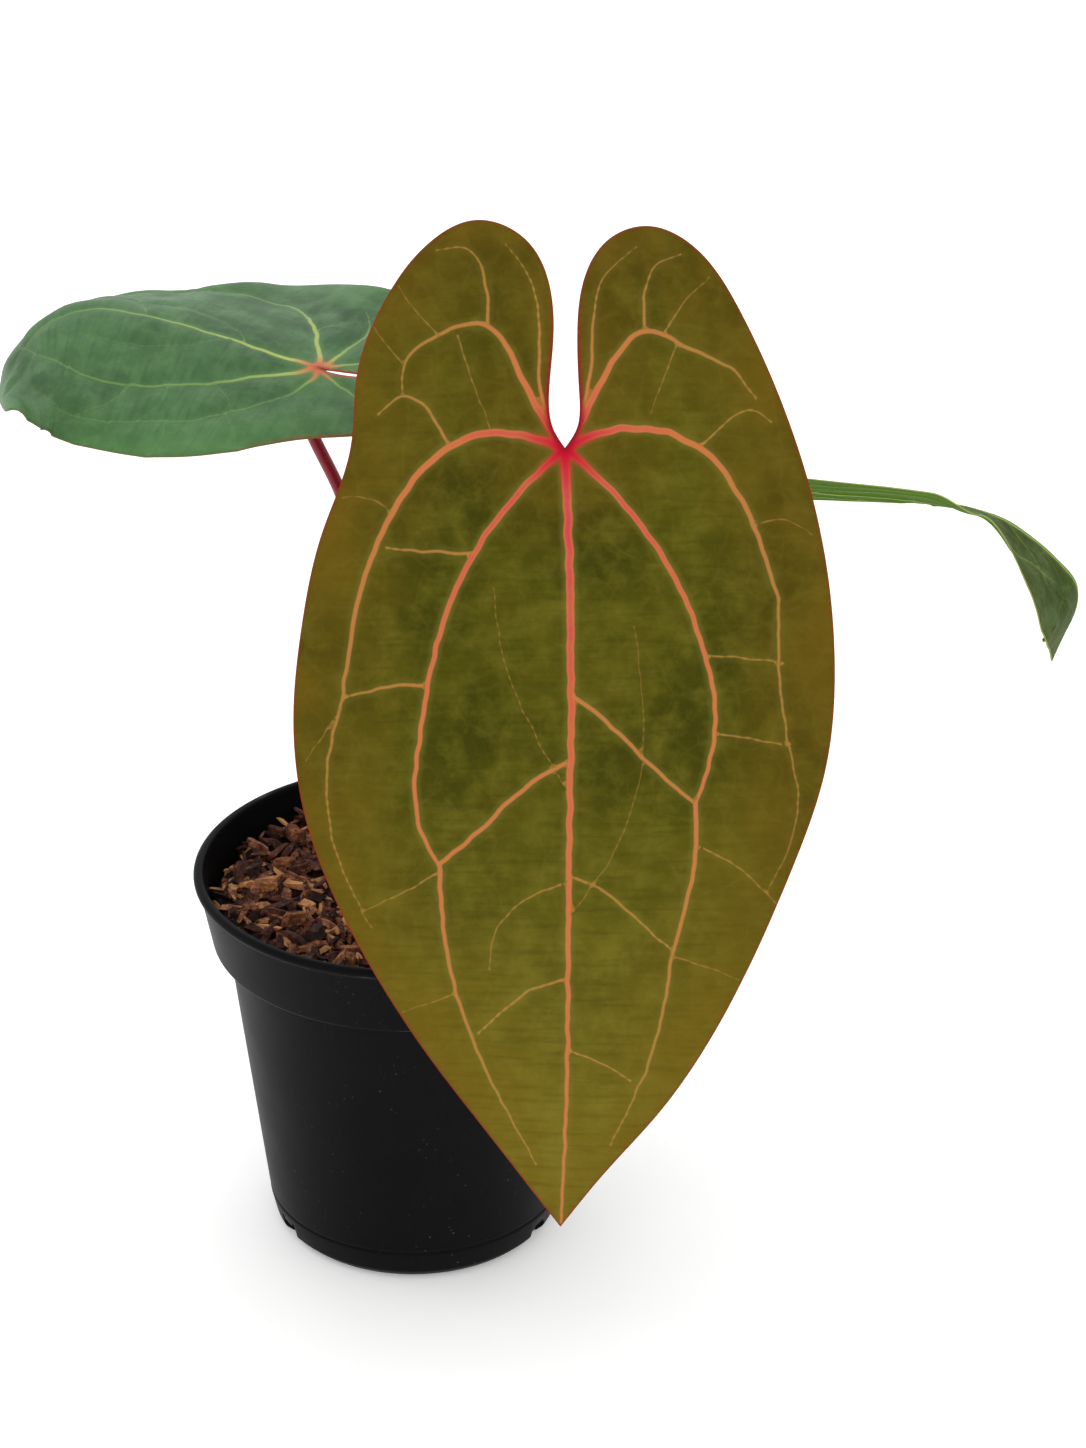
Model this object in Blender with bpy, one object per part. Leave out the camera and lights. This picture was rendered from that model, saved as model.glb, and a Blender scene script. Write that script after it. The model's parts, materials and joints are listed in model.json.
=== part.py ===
# Potted anthurium: a black nursery pot, bark mix, a short stem with roots and
# three velvet-leaved petioles and blades. Sizes are in millimetres here and in
# metres in the model. +Z is up, and the front of the plant faces -Y.
import math
import random

import bmesh
import bpy
import numpy as np
from mathutils import Matrix, Vector
from mathutils.geometry import delaunay_2d_cdt

MM = 0.001
FIT_GAP = 0.3

# nursery pot
RIM_RADIUS = 60.0
POT_HEIGHT = 111.0
COLLAR_HEIGHT = 21.4
COLLAR_BOTTOM_RADIUS = 55.3
WALL_TOP_RADIUS = 51.1
FOOT_RADIUS = 41.8
FOOT_HEIGHT = 9.8
BASE_RADIUS = 37.7
WALL_THICKNESS = 1.2
LIP_WIDTH = 2.8
LIP_DEPTH = 1.6
FLOOR_THICKNESS = 1.8
POT_SEGMENTS = 48
SLOT_COUNT = 3
SLOT_WIDTH = 7.0
SLOT_HEIGHT = 6.0
SLOT_DEPTH = 9.0

# bark mix
MIX_BELOW_RIM = 9.0
MIX_HUMP = 1.0
MIX_TOP = POT_HEIGHT - MIX_BELOW_RIM

# stem and roots
STEM_RADIUS = 7.5
STEM_LENGTH = 35.0
STEM_SHOWS = 0.7
STEM_TOP = MIX_TOP + MIX_HUMP + STEM_SHOWS
STEM_BASE = STEM_TOP - STEM_LENGTH
CROWN = STEM_TOP + FIT_GAP
ROOT_RADIUS = 1.9
ROOT_COUNT = 6
ROOT_SPREAD = 24.0
ROOT_DROP = 42.0

# petioles, from the crown up to each leaf's junction
PETIOLE_SEAT = 3.2
PETIOLE_TOP_RADIUS = 1.75
PETIOLE_FOOT_RADIUS = 2.5
JOINT_RADIUS = 2.3
JOINT_LENGTH = 14.0
PETIOLE_SIDES = 10

# blades
BLADE_THICKNESS = 0.9
BLADE_SPACING = 8.0

# papery sheaths at the crown
SHEATH_COUNT = 3
SHEATH_HEIGHT = 24.0
SHEATH_WIDTH = 7.0
SHEATH_THICKNESS = 0.7
SHEATH_RADIUS = 10.0

# loose bark chips on top of the mix
CHIP_COUNT = 30
CHIP_LENGTH = 11.0
CHIP_WIDTH = 5.0
CHIP_HEIGHT = 3.6
CHIP_SEED = 11

# Each leaf, with heights measured from the crown (the stem's top): the midrib's
# line from the lobes, through the junction, to the tip;
# which way its upper face looks at the junction; how it twists, as (distance
# along the midrib, degrees); how far each half is folded up from flat; and the
# outline of each half as (distance from the midrib, distance along it).
LEAVES = {
    "front": {
        "midrib": [(41, -10, 211), (42, -29, 180), (42, -45, 151), (42.5, -72, 101),
                   (43, -95, 48), (42.5, -110, 1), (41, -117, -34)],
        "junction": 2,
        "facing": (0, -1, 0.5),
        "twist": [(-70, 0), (200, 0)],
        "fold_plus": [(-70, -4), (200, -4)],
        "fold_minus": [(-70, -4), (200, -4)],
        "outline_plus": [(0, 0), (3, -5), (4, -14), (3, -26), (3.5, -40), (9, -52.5),
                         (22, -58.5), (34, -53), (46, -37), (52.5, -18), (54, 0),
                         (61, 20), (66.5, 43), (69, 66), (66.5, 92), (57, 118),
                         (40, 148), (16, 180), (0, 200)],
        "outline_minus": [(0, 0), (3, -5), (3.5, -14), (3, -28), (4.5, -41), (11, -52),
                          (21, -55.5), (33, -50), (43.5, -35.5), (53, -16), (61.5, 9),
                          (66, 32), (67.5, 55), (65, 81), (56.5, 106), (40, 142),
                          (24.5, 167), (9.5, 186), (0, 200)],
        "petiole": [(3.5, -2.5, 0), (9, -3, 31), (20, -11, 76), (31, -22, 118)],
    },
    "left": {
        "midrib": [(18, -10, 148), (-1, -6, 151), (-22, 0, 154), (-36, 5, 157),
                   (-53, 10, 161), (-70, 14, 163.5), (-85, 18, 163), (-97, 20, 157),
                   (-104, 20, 148), (-107, 18, 139)],
        "junction": 2,
        "facing": (0, 0, 1),
        "twist": [(-30, 0), (110, 0)],
        "fold_plus": [(-45, 12), (0, 4), (30, -10), (60, -17), (100, -20)],
        "fold_minus": [(-45, -14), (0, -18), (50, -28), (76, -23), (100, -10)],
        "outline_plus": [(0, 0), (2.5, -6), (2, -16), (3, -27), (13, -36), (28, -34), (41, -22),
                         (48, -10), (48, 2), (51, 12), (54.5, 20), (54, 28), (47, 38), (43, 50),
                         (42, 60), (33, 79), (16, 96), (0, 102)],
        "outline_minus": [(0, 0), (2.5, -6), (2, -16), (3, -27), (10, -33), (17, -29), (24, -18),
                          (29.5, -6), (37, 3), (43, 11), (46.5, 22), (47.5, 36), (46.5, 54),
                          (46, 70), (45.5, 82), (46, 88), (46.5, 92), (43, 96), (35, 99),
                          (21, 101), (8, 102), (0, 102)],
        "petiole": [(-4.5, 1.5, 0), (-7.5, 1.2, 31), (-13, 1, 76), (-17, 1.5, 118)],
    },
    "right": {
        "midrib": [(62, 8, 118), (84, 8, 118), (108, 9, 115.5), (126, 10, 113.5),
                   (144, 11, 110.5), (156, 12, 107), (166, 13, 101), (175, 14, 92.5),
                   (181, 14, 84.5), (180.5, 14, 76), (177, 14, 67), (174, 14, 57)],
        "junction": 1,
        "facing": (0, 0.477, 0.879),
        "twist": [(-40, 0), (50, 0), (64, 8), (84, 40), (105, 52), (124, 54)],
        "fold_plus": [(-60, -1), (60, -2), (130, -6)],
        "fold_minus": [(-60, 0), (54, 0), (66, -24), (84, -52), (130, -75)],
        "outline_plus": [(0, 0), (3.5, -6), (4, -14), (5, -25), (12, -32), (24, -28), (32, -13),
                         (36, 5), (36, 26), (32, 48), (27, 62), (19, 72), (19, 79), (28, 86),
                         (32, 90), (30, 98), (28.5, 108), (27.5, 112), (24.5, 116), (19.5, 120),
                         (12, 124), (5, 128), (0, 131)],
        "outline_minus": [(0, 0), (3.5, -6), (4, -14), (5, -25), (12, -32), (24, -28), (32, -13),
                          (35, 5), (33, 26), (26, 42), (12, 57), (5, 66), (5, 74), (10, 84),
                          (13, 92), (9, 101), (5, 112), (4, 122), (0, 131)],
        "petiole": [(3, 4.5, 0), (16, 6, 34), (40, 8, 74), (64, 7.5, 97)],
    },
}


def clear_scene():
    for obj in list(bpy.data.objects):
        bpy.data.objects.remove(obj, do_unlink=True)


def material(name, color, roughness):
    mat = bpy.data.materials.new(name)
    mat.use_nodes = True
    shader = mat.node_tree.nodes["Principled BSDF"]
    shader.inputs["Base Color"].default_value = (*color, 1.0)
    shader.inputs["Roughness"].default_value = roughness
    return mat


def add_mesh(name, verts, faces, mat, smooth=True):
    """A mesh object made from millimetre points, with faces turned outward."""
    mesh = bpy.data.meshes.new(name)
    mesh.from_pydata([Vector(v) * MM for v in verts], [], faces)
    obj = bpy.data.objects.new(name, mesh)
    bpy.context.collection.objects.link(obj)
    work = bmesh.new()
    work.from_mesh(mesh)
    bmesh.ops.recalc_face_normals(work, faces=work.faces)
    work.to_mesh(mesh)
    work.free()
    for poly in mesh.polygons:
        poly.use_smooth = smooth
    mesh.materials.append(mat)
    return obj


def lathe(name, profile, segments, mat):
    """Turn a closed (radius, height) profile about the Z axis."""
    verts = []
    rings = []
    for radius, height in profile:
        ring = []
        for k in range(segments if radius > 0 else 1):
            turn = 2 * math.pi * k / segments
            ring.append(len(verts))
            verts.append((radius * math.cos(turn), radius * math.sin(turn), height))
        rings.append(ring)
    faces = []
    for low, high in zip(rings, rings[1:] + rings[:1]):
        if len(low) == 1 and len(high) == 1:
            continue
        for k in range(segments):
            after = (k + 1) % segments
            corners = [low[k % len(low)], low[after % len(low)],
                       high[after % len(high)], high[k % len(high)]]
            faces.append(list(dict.fromkeys(corners)))
    return add_mesh(name, verts, faces, mat)


def tube_shape(path, radii, sides, start=None, end=None):
    """Points and faces of a closed round tube; start and end aim its two caps."""
    path = [Vector(p) for p in path]
    verts = []
    across = None
    for k, point in enumerate(path):
        along = (path[min(k + 1, len(path) - 1)] - path[max(k - 1, 0)]).normalized()
        if k == 0 and start:
            along = start
        if k == len(path) - 1 and end:
            along = end
        if across is None:
            across = along.orthogonal().normalized()
        across = (across - along * across.dot(along)).normalized()
        side = along.cross(across)
        for j in range(sides):
            turn = 2 * math.pi * j / sides
            offset = across * math.cos(turn) + side * math.sin(turn)
            verts.append(point + offset * radii[k])
    faces = []
    for k in range(len(path) - 1):
        for j in range(sides):
            a = k * sides + j
            b = k * sides + (j + 1) % sides
            faces.append([a, b, b + sides, a + sides])
    faces.append(list(range(sides))[::-1])
    faces.append([(len(path) - 1) * sides + j for j in range(sides)])
    return verts, faces


def cut(target, cutters):
    for cutter in cutters:
        cutter.hide_render = True
        cutter.display_type = "WIRE"
        step = target.modifiers.new(cutter.name, "BOOLEAN")
        step.operation = "DIFFERENCE"
        step.solver = "EXACT"
        step.object = cutter


def spline(points):
    """Natural cubic through the points; returns it and the knots along it."""
    p = np.asarray(points, float)
    t = np.concatenate([[0], np.cumsum(np.linalg.norm(np.diff(p, axis=0), axis=1))])
    h = np.diff(t)
    n = len(t)
    lhs = np.eye(n)
    rhs = np.zeros_like(p)
    for i in range(1, n - 1):
        lhs[i, i - 1:i + 2] = (h[i - 1], 2 * (h[i - 1] + h[i]), h[i])
        rhs[i] = 6 * ((p[i + 1] - p[i]) / h[i] - (p[i] - p[i - 1]) / h[i - 1])
    m = np.linalg.solve(lhs, rhs)

    def curve(x):
        x = np.clip(np.asarray(x, float), t[0], t[-1])
        i = np.clip(np.searchsorted(t, x) - 1, 0, n - 2)
        a = (t[i + 1] - x)[..., None]
        b = (x - t[i])[..., None]
        g = h[i][..., None]
        bend = (m[i] * a**3 + m[i + 1] * b**3) / (6 * g)
        return bend + (p[i] / g - m[i] * g / 6) * a + (p[i + 1] / g - m[i + 1] * g / 6) * b

    return curve, t


def eased(stations, x):
    """Value at x between (position, value) stations, easing in and out."""
    s = np.asarray(stations, float)
    i = np.clip(np.searchsorted(s[:, 0], x) - 1, 0, len(s) - 2)
    w = np.clip((x - s[i, 0]) / (s[i + 1, 0] - s[i, 0]), 0, 1)
    w = w * w * (3 - 2 * w)
    return s[i, 1] * (1 - w) + s[i + 1, 1] * w


class BladeSurface:
    """The bent sheet of a leaf: at(u, v) is a point u off the midrib, v along it."""

    def __init__(self, leaf):
        curve, knots = spline([(x, y, z + CROWN) for x, y, z in leaf["midrib"]])
        t = np.linspace(knots[0], knots[-1], 600)
        line = curve(t)
        steps = np.linalg.norm(np.diff(line, axis=0), axis=1)
        along = np.concatenate([[0], np.cumsum(steps)])
        start = int(np.argmin(np.abs(t - knots[leaf["junction"]])))
        along -= along[start]
        forward = np.gradient(line, along, axis=0)
        forward /= np.linalg.norm(forward, axis=1)[:, None]
        up = np.zeros_like(forward)
        up[start] = leaf["facing"]
        order = [(start, start)]
        order += [(k, k - 1) for k in range(start + 1, len(t))]
        order += [(k, k + 1) for k in range(start - 1, -1, -1)]
        for k, source in order:
            carried = up[source] - up[source] @ forward[k] * forward[k]
            up[k] = carried / np.linalg.norm(carried)
        side = np.cross(forward, up)
        turn = np.radians(eased(leaf["twist"], along))[:, None]
        self.along = along
        self.line = line
        self.forward = forward
        self.up = up * np.cos(turn) + side * np.sin(turn)
        self.side = side * np.cos(turn) - up * np.sin(turn)
        self.leaf = leaf

    def at(self, u, v):
        u = np.asarray(u, float)
        v = np.asarray(v, float)

        def along_rib(values):
            return np.stack([np.interp(v, self.along, values[:, k]) for k in range(3)], -1)

        past = v - np.clip(v, self.along[0], self.along[-1])
        foot = along_rib(self.line) + along_rib(self.forward) * past[..., None]
        plus = eased(self.leaf["fold_plus"], v)
        minus = eased(self.leaf["fold_minus"], v)
        fold = np.radians(np.where(u >= 0, plus, minus))
        level = along_rib(self.side) * (u * np.cos(fold))[..., None]
        return foot + level + along_rib(self.up) * (np.abs(u) * np.sin(fold))[..., None]


def blade_outline(leaf, spacing):
    """Closed loop of (u, v) points: down the plus side, back up the minus side."""
    loop = []
    for side, sign in (("outline_plus", 1), ("outline_minus", -1)):
        curve, knots = spline(leaf[side])
        count = max(12, int(round(knots[-1] / spacing)))
        points = curve(np.linspace(0, knots[-1], count + 1)) * (sign, 1)
        loop.append(points)
    return np.vstack([loop[0], loop[1][-2:0:-1]])


def inside_by(points, loop, margin):
    """Which points lie inside the loop and at least margin from its edge."""
    a = loop
    b = np.roll(loop, -1, axis=0)
    px = points[:, 0][:, None]
    py = points[:, 1][:, None]
    crosses = (a[:, 1] > py) != (b[:, 1] > py)
    rise = np.where(b[:, 1] == a[:, 1], 1e-9, b[:, 1] - a[:, 1])
    at_x = a[:, 0] + (py - a[:, 1]) * (b[:, 0] - a[:, 0]) / rise
    inside = ((px < at_x) & crosses).sum(1) % 2 == 1
    edge = b - a
    t = ((points[:, None] - a) * edge).sum(-1) / (edge**2).sum(-1)
    near = a + edge * np.clip(t, 0, 1)[..., None]
    gap = np.linalg.norm(points[:, None] - near, axis=-1).min(1)
    return inside & (gap > margin)


def blade_sheet(leaf, spacing):
    """Flat (u, v) triangle mesh of a blade, with the outline's points first."""
    loop = blade_outline(leaf, spacing)
    row = spacing * math.sqrt(3) / 2
    rib = [(0.0, v) for v in np.arange(spacing * 0.7, loop[:, 1].max(), spacing)]
    lattice = []
    for j, v in enumerate(np.arange(loop[:, 1].min(), loop[:, 1].max(), row)):
        shift = spacing * (0.5 if j % 2 else 1.0)
        for u in np.arange(shift, 80, spacing):
            lattice += [(u, v), (-u, v)]
    extra = np.array(rib + lattice)
    extra = extra[inside_by(extra, loop, spacing * 0.45)]
    points = [Vector(p) for p in np.vstack([loop, extra])]
    edges = [(k, (k + 1) % len(loop)) for k in range(len(loop))]
    verts, _, faces, _, _, _ = delaunay_2d_cdt(points, edges, [], 1, 1e-5)
    return np.array([tuple(v) for v in verts]), [tuple(f) for f in faces]


def build_blade(name, leaf, mat):
    """A closed thin solid: the sheet moved half its thickness each way."""
    surface = BladeSurface(leaf)
    flat, faces = blade_sheet(leaf, BLADE_SPACING)
    middle = surface.at(flat[:, 0], flat[:, 1])
    normal = np.zeros_like(middle)
    for f in faces:
        turned = np.cross(middle[f[1]] - middle[f[0]], middle[f[2]] - middle[f[0]])
        for k in f:
            normal[k] += turned
    normal /= np.linalg.norm(normal, axis=1)[:, None]
    half = BLADE_THICKNESS / 2
    count = len(middle)
    solid = [list(f) for f in faces]
    solid += [[k + count for k in f[::-1]] for f in faces]
    seen = {}
    for f in faces:
        for a, b in zip(f, f[1:] + f[:1]):
            seen[(a, b)] = True
    for a, b in seen:
        if (b, a) not in seen:
            solid.append([b, a, a + count, b + count])
    verts = np.vstack([middle + normal * half, middle - normal * half])
    return add_mesh(name, [tuple(v) for v in verts], solid, mat)


def petiole_end(leaf):
    """Where a stalk stops under its blade, and the way its end cap faces."""
    surface = BladeSurface(leaf)
    seat, ahead, plus, minus = (
        Vector(surface.at(u, v)) for u, v in
        ((0, PETIOLE_SEAT), (0, PETIOLE_SEAT + 1), (2, PETIOLE_SEAT), (-2, PETIOLE_SEAT)))
    forward = ahead - seat
    upper = [forward.cross(plus - seat), (minus - seat).cross(forward)]
    upper = [n.normalized() for n in upper]
    if upper[0].dot(Vector(surface.up[len(surface.along) // 2])) < 0:
        upper = [-n for n in upper]
    facing = (upper[0] + upper[1]).normalized()
    slope = math.tan(facing.angle(upper[0]))
    room = BLADE_THICKNESS / 2 + FIT_GAP + JOINT_RADIUS * slope
    return seat - facing * room, facing


def build_petiole(name, leaf, mat):
    """Stalk from just above the stem to just under the blade, with its joint."""
    end, facing = petiole_end(leaf)
    points = [(x, y, z + CROWN) for x, y, z in leaf["petiole"]]
    curve, knots = spline(points + [tuple(end - facing * JOINT_LENGTH * 0.6), tuple(end)])
    length = knots[-1]
    stations = [0.0, 4.0, 10.0]
    stations += list(np.linspace(22.0, length - JOINT_LENGTH - 6, 8))
    stations += [length - JOINT_LENGTH, length - JOINT_LENGTH * 0.5, length - 2, length]
    profile = [(0, PETIOLE_FOOT_RADIUS), (30, PETIOLE_TOP_RADIUS),
               (length - JOINT_LENGTH - 2, PETIOLE_TOP_RADIUS),
               (length - JOINT_LENGTH, JOINT_RADIUS), (length - 2, JOINT_RADIUS),
               (length, PETIOLE_TOP_RADIUS)]
    where, sizes = zip(*profile)
    radii = np.interp(stations, where, sizes)
    path = curve(np.array(stations))
    up = Vector((0, 0, 1))
    verts, faces = tube_shape(path, radii, PETIOLE_SIDES, start=up, end=facing)
    return add_mesh(name, verts, faces, mat)


def pot_inner():
    """(radius, height) up the pot's inner face, from the floor's middle to the lip."""
    collar_bottom = POT_HEIGHT - COLLAR_HEIGHT
    wall_slope = (WALL_TOP_RADIUS - FOOT_RADIUS) / (collar_bottom - FOOT_HEIGHT)
    return [
        (0, FLOOR_THICKNESS),
        (BASE_RADIUS - WALL_THICKNESS, FLOOR_THICKNESS),
        (BASE_RADIUS + 2.0 - WALL_THICKNESS, FLOOR_THICKNESS + 2),
        (FOOT_RADIUS - WALL_THICKNESS + 2 * wall_slope, FOOT_HEIGHT + 2),
        (WALL_TOP_RADIUS - WALL_THICKNESS, collar_bottom + 0.4),
        (COLLAR_BOTTOM_RADIUS - WALL_THICKNESS, collar_bottom + 2.4),
        (RIM_RADIUS - LIP_WIDTH, POT_HEIGHT - 0.6),
    ]


def build_pot(mat):
    collar_bottom = POT_HEIGHT - COLLAR_HEIGHT
    profile = [
        (0, 0),
        (BASE_RADIUS, 0),
        (BASE_RADIUS + 2.6, 2.6),
        (FOOT_RADIUS, FOOT_HEIGHT),
        (WALL_TOP_RADIUS, collar_bottom - 0.6),
        (COLLAR_BOTTOM_RADIUS - 0.8, collar_bottom),
        (COLLAR_BOTTOM_RADIUS, collar_bottom + 0.8),
        (RIM_RADIUS - 0.6, POT_HEIGHT - LIP_DEPTH),
        (RIM_RADIUS, POT_HEIGHT - LIP_DEPTH * 0.5),
        (RIM_RADIUS - 0.6, POT_HEIGHT),
        (RIM_RADIUS - LIP_WIDTH + 0.5, POT_HEIGHT),
    ]
    profile += pot_inner()[::-1]
    pot = lathe("nursery_pot", profile, POT_SEGMENTS, mat)
    for k in range(SLOT_COUNT):
        turn = math.pi / 2 + 2 * math.pi * k / SLOT_COUNT
        bpy.ops.mesh.primitive_cube_add(size=1)
        slot = bpy.context.object
        slot.name = f"slot_cutter_{k + 1}"
        slot.scale = (SLOT_DEPTH * MM, SLOT_WIDTH * MM, 2 * SLOT_HEIGHT * MM)
        slot.rotation_euler = (0, 0, turn)
        reach = (BASE_RADIUS + 2.0) * MM
        slot.location = (reach * math.cos(turn), reach * math.sin(turn), 0)
        cut(pot, [slot])
    return pot


def root_paths():
    """Roots leave the stem's side, spread, then turn down into the mix."""
    paths = []
    for k in range(ROOT_COUNT):
        turn = 2 * math.pi * (k + 0.25) / ROOT_COUNT
        out = Vector((math.cos(turn), math.sin(turn), 0))
        start = STEM_BASE + 4 + 4 * (k % 3)
        points = []
        for s in np.linspace(0, 1, 7):
            reach = STEM_RADIUS + ROOT_RADIUS + FIT_GAP + ROOT_SPREAD * s**0.8
            sway = 3.0 * math.sin(5 * s + k)
            side = Vector((-out.y, out.x, 0)) * sway * s
            points.append(out * reach + side + Vector((0, 0, start - ROOT_DROP * s**1.5)))
        paths.append(points)
    return paths


def mix_radius(height):
    """How wide the mix is at a height, clear of the pot's inner face."""
    radii, heights = zip(*pot_inner()[1:])
    return float(np.interp(height - 2 * FIT_GAP, heights, radii)) - 1.5 * FIT_GAP


def mix_stations():
    """(radius, height) down the mix's top surface, from the stem to the pot wall."""
    edge = mix_radius(MIX_TOP - 1.5)
    return [(STEM_RADIUS + 3, MIX_TOP + MIX_HUMP), (edge * 0.5, MIX_TOP + MIX_HUMP * 0.7),
            (edge - 2, MIX_TOP), (edge, MIX_TOP - 1.5)]


def mix_height(radius):
    """Top of the bark mix at a distance from the pot's axis."""
    where, heights = zip(*mix_stations())
    return float(np.interp(radius, where, heights))


def build_mix(mat):
    """Bark mix filling the pot, with a socket for the stem and root channels."""
    profile = [(0, FLOOR_THICKNESS + 2 * FIT_GAP)]
    for radius, height in pot_inner()[1:-1]:
        profile.append((radius - 1.5 * FIT_GAP, height + 2 * FIT_GAP))
    profile += mix_stations()[::-1]
    profile.append((0, MIX_TOP + MIX_HUMP))
    mix = lathe("potting_mix", profile, POT_SEGMENTS, mat)
    socket_profile = [
        (0, STEM_BASE - FIT_GAP),
        (STEM_RADIUS * 0.7, STEM_BASE - FIT_GAP),
        (STEM_RADIUS + FIT_GAP, STEM_BASE + 3),
        (STEM_RADIUS + FIT_GAP, STEM_TOP + 4),
        (0, STEM_TOP + 4),
    ]
    cutters = [lathe("socket_cutter", socket_profile, 20, mat)]
    for k, path in enumerate(root_paths()):
        lead = (path[0] - path[1]).normalized() * (ROOT_RADIUS + 1)
        tail = (path[-1] - path[-2]).normalized() * FIT_GAP
        channel = [path[0] + lead] + path[1:-1] + [path[-1] + tail]
        grown = [ROOT_RADIUS + FIT_GAP * 1.6] * len(channel)
        verts, faces = tube_shape(channel, grown, 8)
        cutters.append(add_mesh(f"channel_cutter_{k + 1}", verts, faces, mat))
    cut(mix, cutters)
    return mix


def build_stem(mat):
    profile = [
        (0, STEM_BASE),
        (STEM_RADIUS * 0.7, STEM_BASE),
        (STEM_RADIUS, STEM_BASE + 3),
        (STEM_RADIUS * 0.92, STEM_BASE + 10),
        (STEM_RADIUS, STEM_BASE + 18),
        (STEM_RADIUS * 0.92, STEM_BASE + 26),
        (STEM_RADIUS, STEM_TOP - 1),
        (STEM_RADIUS * 0.85, STEM_TOP),
        (0, STEM_TOP),
    ]
    return lathe("stem", profile, 20, mat)


def build_roots(mat):
    for k, path in enumerate(root_paths()):
        radii = [ROOT_RADIUS] * (len(path) - 1) + [ROOT_RADIUS * 0.5]
        verts, faces = tube_shape(path, radii, 8)
        add_mesh(f"root_{k + 1}", verts, faces, mat)


def build_sheaths(mat):
    """Curved papery tongues that stand on the mix around the stem's top."""
    foot = MIX_TOP + MIX_HUMP + FIT_GAP
    for k in range(SHEATH_COUNT):
        turn = math.pi * (0.35 + 2 * k / SHEATH_COUNT)
        height = SHEATH_HEIGHT * (1 - 0.22 * k)
        verts = []
        rows = 7
        cols = 5
        for depth in (0, SHEATH_THICKNESS):
            for i in range(rows):
                up = i / (rows - 1)
                half = SHEATH_WIDTH / 2 * (1 - 0.85 * up**1.8)
                lean = SHEATH_RADIUS + 3.5 * up**1.5 + depth
                for j in range(cols):
                    side = (j / (cols - 1) * 2 - 1) * half
                    bend = turn + side / SHEATH_RADIUS
                    verts.append((lean * math.cos(bend), lean * math.sin(bend),
                                  foot + height * up))
        count = rows * cols
        faces = []
        for i in range(rows - 1):
            for j in range(cols - 1):
                a = i * cols + j
                face = [a, a + 1, a + cols + 1, a + cols]
                faces.append(face)
                faces.append([c + count for c in face[::-1]])
        border = list(range(cols))
        border += [i * cols + cols - 1 for i in range(1, rows)]
        border += [(rows - 1) * cols + j for j in range(cols - 2, -1, -1)]
        border += [i * cols for i in range(rows - 2, 0, -1)]
        for a, b in zip(border, border[1:] + border[:1]):
            faces.append([b, a, a + count, b + count])
        add_mesh(f"sheath_{k + 1}", verts, faces, mat)


def build_chips(mats):
    """Loose chips lying apart from each other on the mix."""
    rng = random.Random(CHIP_SEED)
    inner = SHEATH_RADIUS + 4 + CHIP_LENGTH / 2
    outer = mix_radius(MIX_TOP) - CHIP_LENGTH / 2 - 2
    placed = []
    tries = 0
    while len(placed) < CHIP_COUNT and tries < 20000:
        tries += 1
        length = CHIP_LENGTH * rng.uniform(0.7, 1.1)
        radius = math.sqrt(rng.uniform(inner**2, outer**2))
        turn = rng.uniform(0, 2 * math.pi)
        x = radius * math.cos(turn)
        y = radius * math.sin(turn)
        clear = all(math.hypot(x - p[0], y - p[1]) > (length + p[2]) / 2 for p in placed)
        if clear:
            placed.append((x, y, length))
    for k, (x, y, length) in enumerate(placed):
        width = CHIP_WIDTH * rng.uniform(0.6, 1.1)
        height = CHIP_HEIGHT * rng.uniform(0.6, 1.1)
        heading = Matrix.Rotation(rng.uniform(0, math.pi), 3, "Z")
        corners = []
        for level in (0, 1):
            for sx, sy in ((-1, -0.6), (-0.5, -1), (0.6, -1), (1, -0.2), (0.7, 0.9), (-0.6, 1)):
                shrink = 0.72 if level else 1.0
                jitter = rng.uniform(0.86, 1.0)
                point = Vector((sx * length / 2 * shrink * jitter,
                                sy * width / 2 * shrink * jitter,
                                height * level * rng.uniform(0.75, 1.0)))
                corners.append(heading @ point)
        foot = mix_height(max(0.0, math.hypot(x, y) - length / 2)) + FIT_GAP
        verts = [p + Vector((x, y, foot)) for p in corners]
        work = bmesh.new()
        for v in verts:
            work.verts.new(v)
        bmesh.ops.convex_hull(work, input=work.verts)
        loose = [v for v in work.verts if not v.link_faces]
        bmesh.ops.delete(work, geom=loose, context="VERTS")
        work.verts.index_update()
        points = [tuple(v.co) for v in work.verts]
        faces = [[v.index for v in f.verts] for f in work.faces]
        work.free()
        add_mesh(f"bark_chip_{k + 1:02d}", points, faces, mats[k % len(mats)], smooth=False)


def main():
    clear_scene()
    build_pot(material("pot_black", (0.012, 0.012, 0.013), 0.45))
    build_mix(material("bark_mix", (0.07, 0.03, 0.018), 0.9))
    build_stem(material("stem_brown", (0.12, 0.07, 0.03), 0.8))
    build_roots(material("root_tan", (0.32, 0.24, 0.14), 0.75))
    petiole = material("petiole_red", (0.24, 0.008, 0.022), 0.35)
    blades = {
        "front": material("blade_olive", (0.105, 0.102, 0.012), 0.5),
        "left": material("blade_green", (0.075, 0.145, 0.06), 0.42),
        "right": material("blade_bright", (0.085, 0.22, 0.03), 0.45),
    }
    for side, leaf in LEAVES.items():
        build_petiole(f"petiole_{side}", leaf, petiole)
        build_blade(f"blade_{side}", leaf, blades[side])
    build_sheaths(material("sheath_straw", (0.36, 0.22, 0.11), 0.8))
    chips = [material("chip_red", (0.2, 0.075, 0.035), 0.85),
             material("chip_tan", (0.42, 0.2, 0.09), 0.85),
             material("chip_dark", (0.06, 0.028, 0.018), 0.9)]
    build_chips(chips)


main()
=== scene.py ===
# %% [markdown]
# # A potted velvet-leaf anthurium
#
# This script dresses a plain CAD model of a young anthurium in a nursery pot.
# The CAD model fixes where everything is. Each step below builds one kind of
# piece: veined leaf blades, glossy stalks, a moulded pot and a bed of bark.
#
# ## Step 1: load the frame
#
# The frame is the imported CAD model. We keep its box, so that at the end we can
# check that our detailed pieces stayed the same size.

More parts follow.
